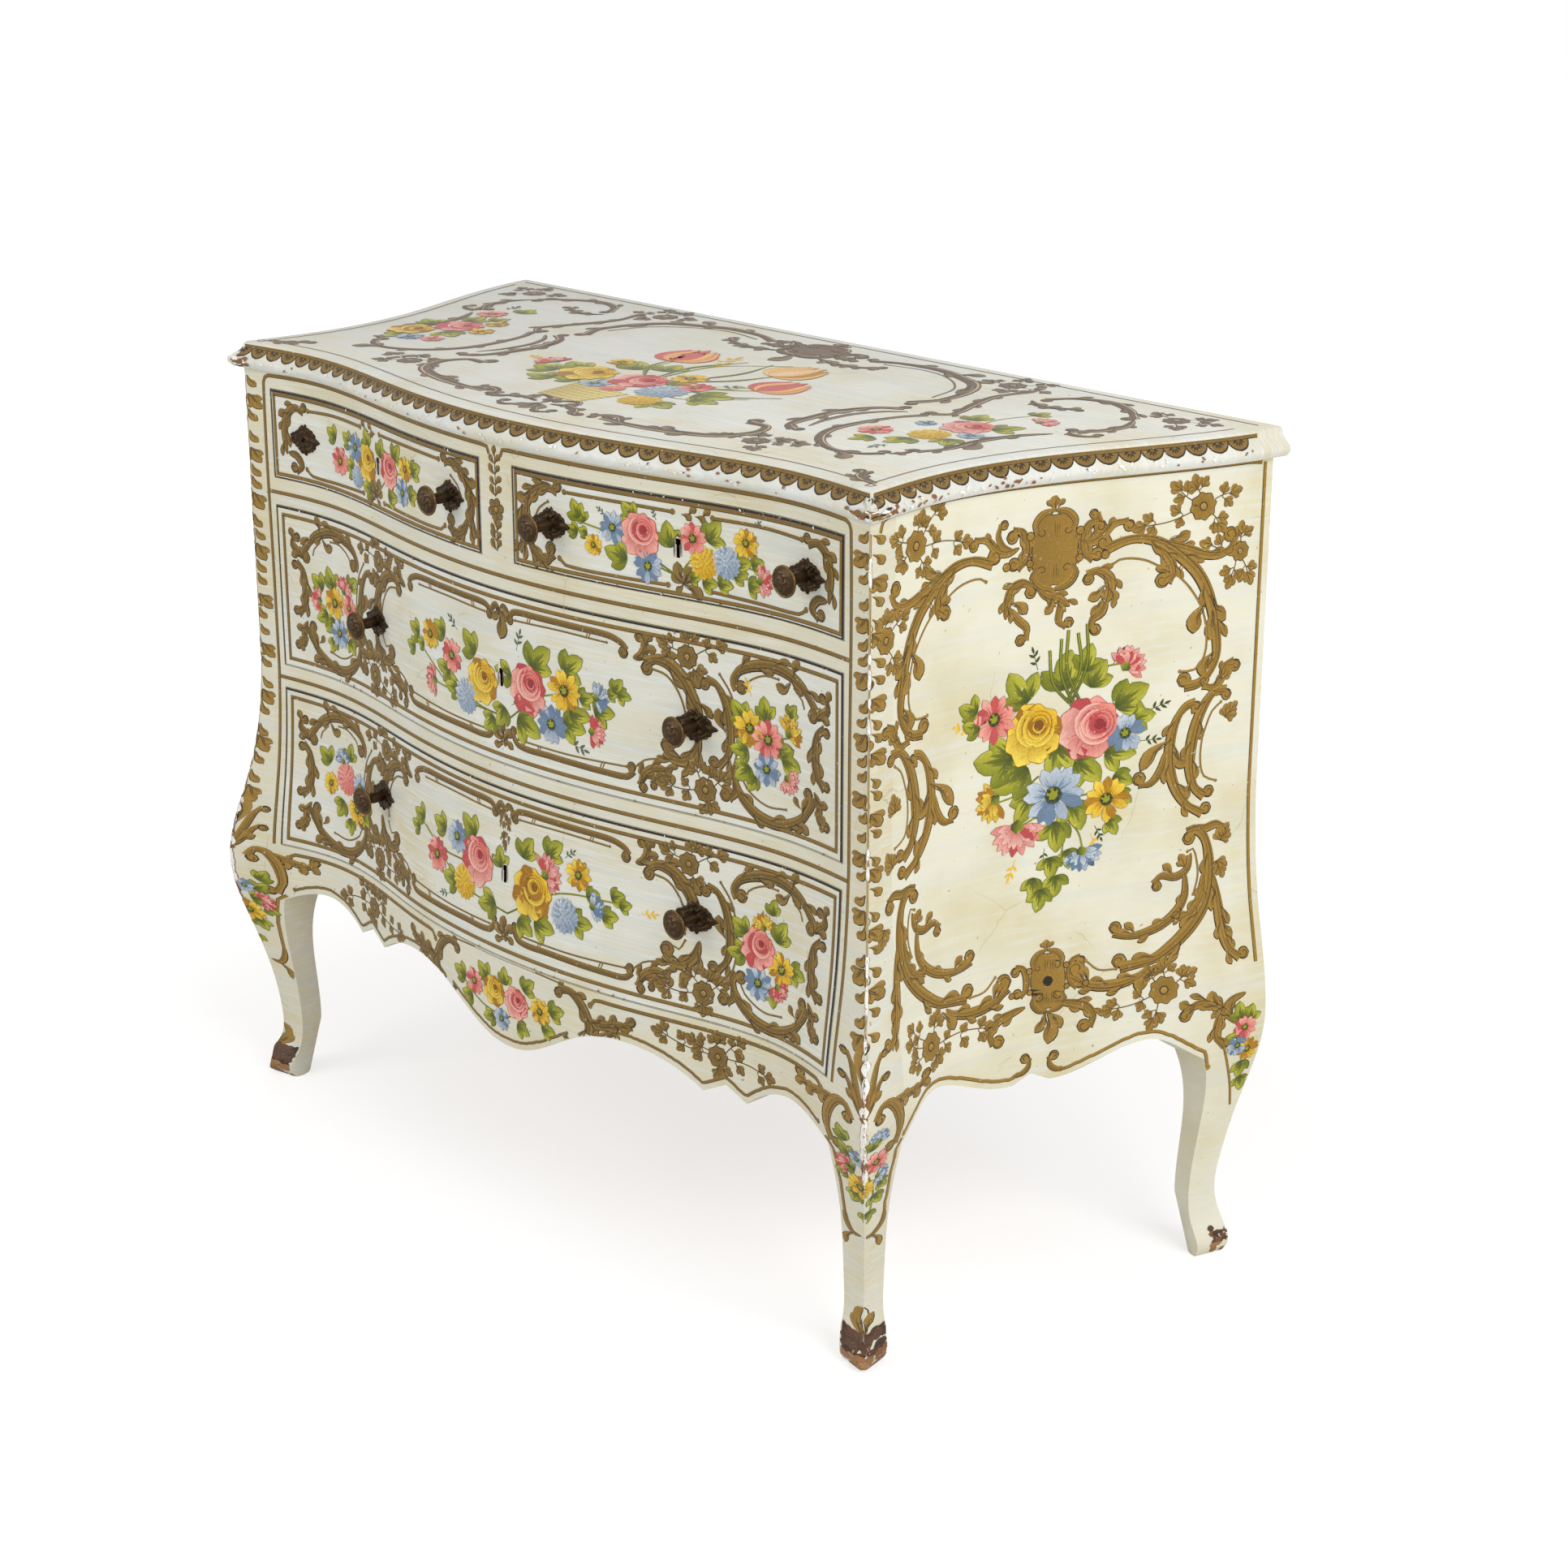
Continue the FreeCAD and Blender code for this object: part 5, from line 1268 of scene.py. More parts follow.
def shield(pen, spot, wide, high, dot):
    """A gold shield under a curled arch, held by two C-scrolls and a cup, hatched above and below."""
    pen = pen.at(*spot)
    gold, dark = pen.colours("gold", "gold_dark")

    def at(*points):
        return [complex(x * wide, y * high) for x, y in points]

    def bellied(t):
        return 0.55 + 0.45 * math.sin(math.pi * t) ** 0.5

    pen.stroke(at((0, 0.47), (0, -0.47)), 1.04 * wide, plain(dark), UNDER, bellied, 4.0)
    pen.stroke(at((0, 0.46), (0, -0.46)), wide, across(mixed(gold, dark, 0.2), gold), UNDER + 0.04, bellied, 4.0)
    for k in range(17):
        x = 0.40 - 0.80 * k / 16
        reach = pen.draw.uniform(0.08, 0.20) * high
        for foot, rise in ((-0.38, 1), (0.36, -1)):
            start = complex(x * wide, (foot + 0.25 * rise * x * x) * high)
            pen.stroke([start, start + 1j * rise * reach], 0.5, plain(dark), UNDER + 0.08, swelling, 5.0)
    for half in pen.halves():
        scroll(half, at((0.0, 0.53), (0.26, 0.48), (0.42, 0.36), (0.38, 0.24)), 0.16 * wide, 0, -0.09 * wide)
        scroll(half, at((0.95, 0.32), (0.76, 0.30), (0.63, 0.14), (0.66, -0.08), (0.84, -0.18)), 0.18 * wide,
               -0.11 * wide, 0.11 * wide)
        scroll(half, at((0.0, -0.52), (0.30, -0.46), (0.46, -0.32), (0.36, -0.22)), 0.16 * wide, 0, 0.09 * wide)
        for x, y, radius in ((0.55, 0.22, 0.08), (0.55, -0.14, 0.07), (1.10, -0.14, 0.08)):
            bead = complex(x * wide, y * high)
            half.disc(bead, radius * wide + 0.8, plain(dark), GOLD + 0.1)
            half.disc(bead, radius * wide, plain(gold), GOLD + 0.14)
        gold_leaf(half, at((0.04, 0.54))[0], 48, 0.24 * wide)
    gold_leaf(pen, at((0, 0.50))[0], 90, 0.34 * wide, 0.22 * wide)
    if dot:
        pen.disc(0j, 0.15 * wide, plain(dark), VEIN + 0.1)
        pen.disc(0j, 0.10 * wide, plain(mixed(dark, BLACK, 0.4)), VEIN + 0.14)


def side_scrolls(pen):
    """Front half of the scrolls round a side panel."""
    scroll(pen, [(172, 780), (150, 787), (130, 786), (112, 778), (95, 765), (78, 748), (66, 728), (58, 705),
                 (53, 680), (52, 660), (58, 645), (70, 634), (86, 632)],
           10.5, 6.5, 6.0)
    for spot, turn, reach in (((64, 722), 232, 34), ((60, 706), 258, 30), ((68, 716), 290, 32), ((108, 783), 165, 22),
                              ((56, 664), -62, 26)):
        gold_leaf(pen, spot, turn, reach)
    scroll(pen, [(132, 785), (110, 779), (90, 772), (70, 764), (52, 762), (40, 768), (36, 778)], 8.0, 0, -6.0)
    scroll(pen, [(122, 778), (108, 764), (103, 750), (108, 740)], 8.5, 0, 6.0)
    gold_leaf(pen, (106, 750), 20, 16)
    line(pen, [(165, 764), (158, 768), (145, 768), (130, 764), (116, 756)], 2.2, True)
    line(pen, [(98, 746), (85, 732), (72, 712), (66, 694), (64, 676), (66, 660), (76, 648), (92, 648)], 2.2, True)
    ticks(pen, (92, 756), (96, 748))
    ticks(pen, (56, 678), (62, 676))
    scroll(pen, [(66, 630), (52, 627), (44, 636), (40, 648), (31, 651)], 7.5, 4.5, 5.0)
    lobed_leaf(pen, complex(46, 634), 130, 16)
    scroll(pen, [(38, 622), (52, 622), (64, 608), (72, 588), (76, 565), (76, 545), (70, 525), (58, 514)], 10.5, 4.5,
           -5.0)
    line(pen, [(44, 610), (54, 602), (60, 588), (64, 575), (65, 552), (60, 535), (46, 528)], 2.0, True)
    ticks(pen, (64, 546), (70, 544))
    scroll(pen, [(73, 614), (82, 612), (91, 602), (97, 585), (99, 565), (97, 545), (90, 525), (78, 508), (60, 496)],
           9.5, 4.5, -5.0)
    gold_leaf(pen, (98, 580), -44, 42, 13)
    gold_leaf(pen, (97, 566), 222, 24)
    scroll(pen, [(103, 568), (108, 548), (118, 536), (130, 536)], 7.0, 0, 5.5)
    scroll(pen, [(68, 484), (56, 480), (44, 482), (34, 477)], 7.5, 0, 5.5)
    scroll(pen, [(76, 478), (66, 480), (57, 470), (52, 450), (52, 425), (58, 402), (72, 382), (92, 364), (115, 351),
                 (148, 347)], 11.5, -5.5, 6.0)
    scroll(pen, [(58, 434), (62, 410), (72, 395), (86, 389)], 7.5, 0, 5.0)
    line(pen, [(76, 458), (70, 460), (66, 448), (65, 430), (70, 412)], 2.0, True)
    scroll(pen, [(72, 456), (76, 441), (88, 434), (104, 437), (112, 430)], 7.0, 0, -4.0)
    lobed_leaf(pen, complex(78, 442), 66, 16)
    gold_leaf(pen, (92, 436), 50, 16)
    scroll(pen, [(79, 440), (79, 414), (88, 398), (104, 386), (122, 380), (140, 379), (154, 384)], 8.0, 0, 5.0)
    gold_leaf(pen, (132, 380), 50, 16)
    scroll(pen, [(47, 430), (43, 400), (40, 372), (34, 350), (22, 338)], 9.5, 0, -5.0)
    gold_leaf(pen, (40, 384), 246, 26)
    scroll(pen, [(120, 343), (130, 335), (155, 330), (180, 334), (197, 346)], 9.5, 0, 7.0)
    gold_leaf(pen, (180, 338), 60, 18)
    line(pen, [(152, 346), (170, 348), (183, 360)], 2.0, True)
    gold_leaf(pen, (114, 342), -54, 28)
    start = pen.spot(0j).real
    hand = -1 if pen.mirrored else 1
    edge = [(h, pen.face.edge_below(start + hand * h, 300) + EDGE_INSET) for h in range(44, 214, 5)]
    edge = [point for point in edge if point[1] > KNEE_LEVEL]
    line(pen, edge, 3.6, True)
    end, level = edge[-1]
    scroll(pen, [(end - 6, level), (end + 4, level + 1), (end + 11, level + 7), (end + 12, level + 16)], 5.0, 0, 4.0)
    scroll(pen, [(202, 792), (190, 788), (178, 791), (165, 804), (150, 806)], 7.0, 0, 4.5)
    gold_leaf(pen, (172, 798), 118, 15)
    scroll(pen, [(196, 790), (184, 795), (178, 806), (181, 817)], 5.5, 0, -3.5)
    scroll(pen, [(216, 322), (200, 318), (184, 312), (176, 300), (180, 289)], 8.0, 0, 5.5)


def pendants(pen):
    """The three leafy drops under a side's upper shield and the leaf under its lower one."""
    scroll(pen, [(218, 752), (206, 757), (195, 752), (190, 740), (188, 724)], 8.5, -5.0)
    gold_leaf(pen, (194, 740), -38, 22)
    scroll(pen, [(194, 734), (202, 722), (212, 712), (211, 700)], 7.0, 0, -4.5)
    scroll(pen, [(222, 752), (232, 742), (246, 736), (257, 728)], 8.0)
    gold_leaf(pen, (240, 738), 240, 17)
    scroll(pen, [(248, 738), (247, 724), (246, 714), (254, 708)], 6.5, 0, 4.0)
    scroll(pen, [(274, 757), (284, 760), (296, 752), (298, 738), (294, 726)], 8.5, 4.5)
    for spot, turn, reach in (((292, 744), 216, 20), ((296, 742), -62, 16), ((292, 732), 228, 20)):
        gold_leaf(pen, spot, turn, reach)
    scroll(pen, [(295, 730), (290, 718), (281, 712), (279, 702)], 7.0, 0, 4.5)
    gold_leaf(pen, (240, 314), -90, 35, 15)
    gold_leaf(pen, (238, 312), -122, 22, 9)
    gold_leaf(pen, (242, 312), -58, 22, 9)


def side_flowers(pen):
    """The bouquet on a side panel, tied at the top and trailing down."""
    posy(pen, (250, 585),
         ("stem", (264, 626, (238, 686), 0.14, OVER), (266, 626, (250, 696), 0.1, OVER),
          (262, 630, (276, 708), -0.1, OVER), (272, 628, (257, 704), 0.1, OVER), (258, 632, (267, 700), -0.12, OVER),
          (258, 500, (240, 440)), (230, 560, (180, 540)), (240, 530, (212, 512)), (262, 530, (300, 530)),
          (262, 510, (278, 478)), (270, 650, (318, 664))),
         ("leaf", (207, 652, 38), (254, 662, 40), (279, 672, 28), (288, 655, 30), (148, 642, 24), (152, 624, 22),
          (180, 582, 46), (200, 562, 44), (322, 628, 38), (334, 606, 26), (312, 572, 32), (258, 575, 44),
          (280, 560, 36), (216, 530, 34), (248, 496, 32), (268, 514, 32), (316, 544, 22), (318, 524, 18),
          (308, 497, 18), (224, 446, 22), (233, 432, 24), (250, 444, 22), (243, 464, 22), (262, 470, 20)),
         ("twig", (226, 668, 18, 0, "leaf_dark"), (302, 662, 16, 0, "leaf_dark"), (340, 612, 18, 0, "leaf_dark"),
          (334, 582, 16, 0, "leaf_dark"), (290, 500, 14, 0, "leaf_dark"), (238, 484, 14, 0, "leaf_dark"),
          (150, 620, 18, 0, "yellow"), (206, 478, 18, 0, "yellow"), (286, 492, 18, 0, "yellow")),
         ("half", (321, 666, 18, "pink"), (174, 540, 20, "yellow"), (206, 501, 26, "pink", 20),
          (279, 468, 18, "blue")),
         ("daisy", (178, 626, 24, "pink"), (318, 592, 20, "blue", 12), (301, 526, 23, "yellow"),
          (246, 538, 31, "blue")),
         ("rose", (224, 606, 34, "yellow"), (284, 603, 35, "pink", -40)))


def paint_side(side):
    """Paint a side panel: what is drawn for the right side is mirrored on the left."""
    nodes = [node + side for node in ("side_panel_", "front_leg_", "back_leg_")]
    face = Face(nodes, (0, 1, 0), (0, 0, 1), (SIDES[side], 0, 0))
    # Painted light: the side's scrollwork takes the ochre painted brighter for the light on the sides.
    pen = pen_for(face, "side_gold", "side").at(SIDE_START, 0)
    line(pen, [(18, 838), (22, 848), (34, 851), (240, 850), (440, 850), (456, 848)])
    line(pen, [(460, 848), (460, 700), (460, 520), (460, 330)])
    for half in (pen, pen.at(SIDE_WIDTH, 0, mirror=True)):
        side_scrolls(half)
    shield(pen, (240, 785), 47, 74, False)
    shield(pen, (241, 345), 36, 62, True)
    pendants(pen)
    gold_sprig(pen, (72, 815), 15, ((-15, 68), (35, 46), (80, 26), (150, 34), (200, 26), (-70, 30)))
    gold_sprig(pen, (28, 735), 13, ((40, 34), (95, 22), (-70, 34)))
    gold_sprig(pen, (390, 812), 14, ((200, 66), (150, 36), (100, 26), (25, 36), (-40, 30)))
    gold_sprig(pen, (434, 762), 10, ((170, 40), (-120, 30), (-75, 30), (80, 22)))
    gold_sprig(pen, (95, 312), 15, ((-10, 80), (130, 44), (165, 40), (60, 30), (200, 34), (-60, 20)))
    gold_sprig(pen, (360, 316), 15, ((200, 60), (240, 36), (80, 28), (20, 30), (130, 26)))
    for spot, turn in (((46, 562), 100), ((44, 508), 120), ((28, 455), 250), ((424, 592), 45), ((424, 462), 60),
                       ((420, 445), -70)):
        for aside in (-40.0, 40.0, 0.0):
            lobed_leaf(pen, complex(*spot) + direction(turn, 8.0 if aside == 0.0 else 2.0), turn + aside, 14.0)
    side_flowers(pen)
    return face.finish("side_painting_" + side, "carcass")


def paint_corner(side):
    """Paint a front corner: leaves down the arris, the panel and flowers of the knee, and the toe."""
    way = SIDES[side]
    face = Face(["front_leg_" + side, "side_panel_" + side, "front_apron"], (way, 1, 0), (0, 0, 1), (way, -1, 0))
    # Painted light: the corner's scrollwork takes the ochre painted brighter for the light on the sides.
    pen = pen_for(face, "side_gold", "corner")
    step = 19.0
    for k in range(26):
        z = 840.0 - step * k
        arris = face.ridge(z)
        pen.stroke([(arris, z), (face.ridge(z - step), z - step)], 1.6, pen.flat("gold"), GOLD, even, 3.0)
        for hand in (1, -1):
            root = complex(arris + 2.0 * hand, z + pen.draw.uniform(-5.0, 4.0))
            course = -90 + hand * pen.draw.uniform(26.0, 44.0)
            if (k + hand) % 3:
                gold_leaf(pen, root, course, pen.draw.uniform(13.0, 16.0), 7.6)
            else:
                lobed_leaf(pen, root, course, pen.draw.uniform(17.0, 20.0))
    knee = face.ridge(250)
    pen = pen.at(knee, 0)
    gold_leaf(pen, (0, 312), 90, 40, 11)
    for half in pen.halves():
        scroll(half, [(2, 294), (8, 316), (12, 332), (17, 340)], 5.0, 0, -2.6)
        scroll(half, [(3, 288), (9, 302), (14, 313), (19, 318)], 4.6, 0, -2.6)
        gold_leaf(half, (5, 294), 45, 16)
        scroll(half, [(12, 279), (17, 289), (25, 288), (33, 274), (35, 254), (29, 239)], 7.0, 3.6, -4.0)
        frond(half, [(28, 288), (42, 282), (54, 280), (63, 284)], 6.5, 3, -1, 0, 3.6)
        hand = -1 if half.mirrored else 1
        flank = [(hand * (face.flank(level, hand) - knee) - 4.5, level) for level in range(238, 150, -8)]
        line(half, flank, 2.8)
        scroll(half, [flank[-2], (flank[-1][0] - 2, 152), (9, 144), (1, 145)], 4.5)
        gold_leaf(half, (9, 144), -68, 20, 6)
    posy(pen, (0, 222),
         ("stem", (0, 235, (5, 166))),
         ("leaf", (-21, 256, 15), (-17, 242, 15), (12, 188, 15), (-8, 192, 15), (4, 170, 14), (18, 202, 12),
          (10, 256, 15), (-20, 212, 12), (-14, 226, 14)),
         ("half", (16, 260, 9, "blue"), (-19, 224, 10, "pink"), (17, 215, 9, "blue")),
         ("daisy", (-6, 240, 8, "blue"), (12, 234, 12, "pink"), (-2, 208, 13, "yellow")))
    toe = pen.at(face.ridge(40) - knee, 0)
    for turn, reach in ((90, 28), (118, 20), (62, 20)):
        gold_leaf(toe, (0, 34), turn, reach)
    smears(toe, 44, (-21.0, 21.0), (15.0, 35.0), ("grime", "chipped"), (0.05, 0.45), 5.0, (5.0, 9.0), LEAF)
    smears(toe, 40, (-22.0, 22.0), (-2.0, 17.0), ("chipped", "bare_wood"), (0.0, 0.8), 4.0, (4.0, 7.0), LEAF + 0.2)
    for first, last, wide, share in ((215.0, 345.0, 7.0, 0.78), (350.0, 560.0, 2.4, 0.32), (560.0, 842.0, 2.2, 0.22),
                                     (44.0, 205.0, 1.6, 0.12)):
        worn_arris(pen.at(-knee, 0), first, last, wide, share)
    return face.finish("corner_painting_" + side, "carcass")


def paint_back_knee(side):
    """Paint the knee of a back leg on its side face."""
    face = Face(["back_leg_" + side, "side_panel_" + side], (0, 1, 0), (0, 0, 1), (SIDES[side], 0, 0))
    # Painted light: the knee's scrollwork takes the ochre painted brighter for the light on the sides.
    pen = pen_for(face, "side_gold", "back knee").at(SIDE_START, 0)
    frond(pen, [(436, 268), (420, 286), (400, 296), (380, 290)], 9.0, 3, -1, 0, 5.0)
    scroll(pen, [(446, 300), (430, 294), (418, 276), (416, 256), (426, 244)], 8.5, 0, 5.0)
    line(pen, [(424, 246), (432, 222), (440, 196), (446, 170)], 2.6)
    posy(pen, (446, 250),
         ("leaf", (440, 280, 20), (454, 276, 18), (436, 252, 18), (448, 214, 20), (450, 196, 18)),
         ("daisy", (446, 262, 13, "pink"), (440, 242, 12, "blue"), (452, 236, 13, "yellow")))
    for k in range(60):
        spot = complex(pen.draw.uniform(430.0, 486.0), pen.draw.uniform(2.0, 30.0))
        worn = "bare_wood" if spot.imag < 14.0 else "grime"
        tone = plain(mixed(pen.colour("chipped"), pen.colour(worn), pen.draw.uniform(0.2, 0.9)))
        pen.stroke([spot - 4.0, spot + 4.0], pen.draw.uniform(4.0, 8.0), tone, LEAF + 0.004 * k, rounded, 2.0)
    return face.finish("back_knee_painting_" + side, "carcass")


class Rim(Face):
    """The moulded edge of the top, unrolled from its back left corner round the front to its back right one."""
    LIP_LEVEL = 875.5                      # height of the lip, in mm
    HEART = Vector((0.0, 0.2, 0.0))        # where the rim is looked at from
    FIRST_TURN, LAST_TURN = 174.5, 365.5   # angles of the two back corners, in degrees
    COUNT = 900                            # how many steps the rim is unrolled in

    def __init__(self):
        super().__init__(["top_board"], *FRONT_VIEW)
        self.path, self.run = [], [0.0]
        for k in range(self.COUNT + 1):
            angle = math.radians(self.FIRST_TURN + (self.LAST_TURN - self.FIRST_TURN) * k / self.COUNT)
            out = Vector((math.cos(angle), math.sin(angle), 0.0))
            start = self.HEART + out * OUTSIDE + Vector((0.0, 0.0, self.LIP_LEVEL * MM))
            self.path.append(self.tree.ray_cast(start, -out)[0])
        for start, stop in zip(self.path, self.path[1:]):
            self.run.append(self.run[-1] + (stop - start).length / MM)

    def spot_on_rim(self, along):
        """The point of the rim at a distance along it, and the way out from it."""
        k = min(max(bisect.bisect(self.run, along) - 1, 3), len(self.run) - 5)
        share = (along - self.run[k]) / max(1e-6, self.run[k + 1] - self.run[k])
        heading = (self.path[k + 4] - self.path[k - 3]).normalized()
        return self.path[k].lerp(self.path[k + 1], share), Vector((heading.y, -heading.x, 0.0))

    def place(self, spot, lift):
        """Where a spot of the unrolled rim lies on the moulding, a lift above it."""
        at, self.out = self.spot_on_rim(spot.real)
        start = Vector((at.x, at.y, spot.imag * MM)) + self.out * 0.06
        hit, normal, _, _ = self.tree.ray_cast(start, -self.out, 0.12)
        self.missed = hit is None
        if self.missed:
            return at
        return hit + normal * lift * MM


def paint_rim():
    """Paint the row of fans under the top's lip, the lines along it, and its chips and bare ears."""
    rim = Rim()
    pen = pen_for(rim, "front_gold", "fans")
    gold, dark = pen.colours("gold", "gold_dark")
    width = size_of("fan_width")
    count = round((rim.run[-1] - 2 * width) / width)

    def half_round(t):
        return math.sqrt(max(0.01, 1.0 - t * t))

    for k in range(count):
        u = width * (k + 1)
        pen.stroke([(u, FAN_TOP), (u, FAN_FOOT)], 1.07 * width, plain(dark), UNDER, half_round, 1.2)
        pen.stroke([(u, FAN_TOP), (u, FAN_FOOT + FAN_EDGE)], 0.97 * width, plain(gold), GOLD, half_round, 1.2)
        for turn in (-158, -124, -90, -56, -22):
            base = complex(u, FAN_HUB)
            reach = 7.6 - 2.2 * abs(math.sin(math.radians(turn)))
            pen.stroke([base + direction(turn, 1.6), base + direction(turn, reach + 0.6)], 2.0, plain(dark), VEIN,
                       blade, 2.0)
    step = 60.0
    for k in range(int(rim.run[-1] / step)):
        for level, wide, tone, lift in ((875.4, 3.4, gold, GOLD + 0.02), (873.4, 0.8, dark, VEIN)):
            points = [(step * (k + share), level) for share in (0, 0.5, 1)]
            pen.stroke(points, wide, plain(tone), lift, even, 6.0)
    spots = {u: rim.spot_on_rim(u)[0] for u in range(0, int(rim.run[-1]), 2)}
    ears = [u for u, spot in spots.items() if u % 4 == 0 and spot.y < 0.0 and abs(spot.x) > 0.46]
    for k in range(260):
        on_ear = k % 3 == 0
        u = pen.draw.choice(ears) if on_ear else pen.draw.uniform(10.0, rim.run[-1] - 10.0)
        level = pen.draw.choice((857.0, 858.5, 860.0, 862.5))
        size, brown = (4.2, 0.5) if on_ear else (3.0, 0.3)
        chips(pen, [(u - 3.0, level), (u + 3.0, level)], 1, size, brown, 0.0)
    for hand in (1, -1):
        ear = max(spots, key=lambda u: hand * spots[u].x - spots[u].y)
        for k in range(26):
            spot = complex(ear + pen.draw.gauss(0.0, 9.0), pen.draw.uniform(855.0, 862.5))
            tone = pen.colour(pen.draw.choice(("chipped", "chipped", "grime", "front_gold", "gesso")))
            pen.stroke([spot - 3.5, spot + 3.5], pen.draw.uniform(1.8, 4.0), plain(tone), LEAF + 0.8 + 0.004 * k,
                       rounded, 2.0)
    rim.finish("rim_painting", "carcass")
    return rim


def top_scrolls(pen):
    """One half of the large panel and the small panel beside it on the top."""
    scroll(pen, [(75, -58), (110, -44), (160, -40), (200, -52), (236, -70), (258, -104), (264, -150), (250, -182)],
           12.0, -5.0, 5.5)
    gold_leaf(pen, (190, -46), 30, 30)
    gold_leaf(pen, (240, -78), -70, 34)
    line(pen, [(100, -62), (150, -54), (196, -66), (236, -100), (250, -146)], 2.2, True)
    gold_sprig(pen, (268, -46), 15, ((170, 34), (100, 34), (40, 40), (-10, 44), (-60, 30)))
    scroll(pen, [(268, -206), (246, -222), (232, -256), (232, -296), (240, -338), (258, -352)], 11.0, 5.0, 5.0)
    scroll(pen, [(280, -214), (262, -232), (250, -262), (250, -300), (258, -330)], 6.0)
    gold_leaf(pen, (238, -238), 250, 36)
    scroll(pen, [(206, -360), (232, -362), (243, -390), (226, -424), (180, -444), (132, -452), (92, -450)], 12.0,
           -7.0, -5.0)
    gold_leaf(pen, (190, -440), 160, 30)
    frond(pen, [(120, -452), (100, -436), (84, -440), (76, -452)], 7.0, 2, -1, 0, 4.0)
    gold_sprig(pen, (270, -412), 14, ((170, 40), (120, 30), (60, 30), (20, 46), (-40, 34)))
    scroll(pen, [(300, -60), (292, -96), (302, -140), (318, -190), (304, -206)], 9.0, 4.0, -5.0)
    scroll(pen, [(336, -72), (356, -46), (392, -36), (430, -52), (458, -78)], 10.0, 5.0, -6.0)
    frond(pen, [(330, -86), (348, -98), (370, -96), (392, -84)], 8.0, 3, 1, 0, -4.0)
    gold_sprig(pen, (492, -56), 14, ((150, 36), (60, 34), (10, 40), (-60, 34)))
    scroll(pen, [(462, -84), (474, -112), (468, -146), (452, -164)], 9.0, 0, -5.0)
    frond(pen, [(450, -166), (462, -176), (476, -172), (484, -162)], 7.0, 2, 1, 0, 4.0)
    scroll(pen, [(446, -186), (428, -216), (418, -262), (420, -306), (408, -336)], 9.0, 0, -5.0)
    gold_leaf(pen, (420, -262), -70, 36)
    scroll(pen, [(304, -212), (290, -240), (282, -290), (286, -330), (308, -364), (344, -384), (374, -380),
                 (392, -362)], 9.0, 4.0, 5.0)
    gold_leaf(pen, (352, -386), -35, 34)
    frond(pen, [(396, -360), (404, -344), (398, -334)], 6.0, 2, -1)


def tulip(pen, spot, away, size, hue, other="yellow"):
    """A tulip with upright pointed petals, one colour round another."""
    dark, mid, _ = pen.colours(*HUES[hue])
    glow = pen.colour(other + "_light")
    base = spot - direction(away, 0.5 * size)
    pen.layer = 0.05

    def flamed(t, s):
        return mixed(glow, mixed(mid, dark, 0.35 * t), min(1.0, 0.75 * abs(s) ** 2 + 0.25 * t))

    for k, (turn, wide) in enumerate(((26, 0.36), (-26, 0.36), (14, 0.38), (-15, 0.38), (0, 0.42))):
        tip = base + direction(away + 0.66 * turn, size * (1.0 - 0.003 * abs(turn)))
        side = base + direction(away + 1.7 * turn, 0.46 * size)
        pen.stroke([base, side, tip + direction(away, 0.8)], wide * size + 1.6, plain(mixed(dark, mid, 0.3)),
                   FLOWER + 0.03 * k, blade, size / 8)
        pen.stroke([base, side, tip], wide * size, flamed, FLOWER + 0.03 * k + 0.012, blade, size / 8)
    pen.layer = 0.0


def basket(pen, spot, wide, high):
    """A woven basket, wider at its rim."""
    spot = complex(*spot)
    dark, mid = pen.colour("yellow_dark"), mixed(pen.colour("yellow_light"), pen.colour("top_ground"), 0.3)
    brown = mixed(dark, pen.colour("gold_dark"), 0.4)
    top, foot = spot + complex(0, high / 2), spot - complex(0, high / 2)

    def flared(t):
        return 1.0 - 0.28 * t

    pen.stroke([top, foot], wide, across(mixed(mid, brown, 0.5), mid), FLOWER, flared, 4.0)
    for row in range(7):
        y = high * (0.46 - 0.92 * row / 6)
        half = wide / 2 * (1.0 - 0.28 * (row / 6))
        pen.stroke([spot + complex(-half, y), spot + complex(0, y - 3), spot + complex(half, y)], 1.6,
                   plain(mixed(mid, brown, 0.6)), FLOWER + 0.05, even, 6.0)
    for k in range(9):
        share = -0.45 + 0.9 * k / 8
        pen.stroke([top + share * wide, foot + 0.72 * share * wide], 1.4, plain(mixed(mid, brown, 0.5)),
                   FLOWER + 0.08, even, 6.0)


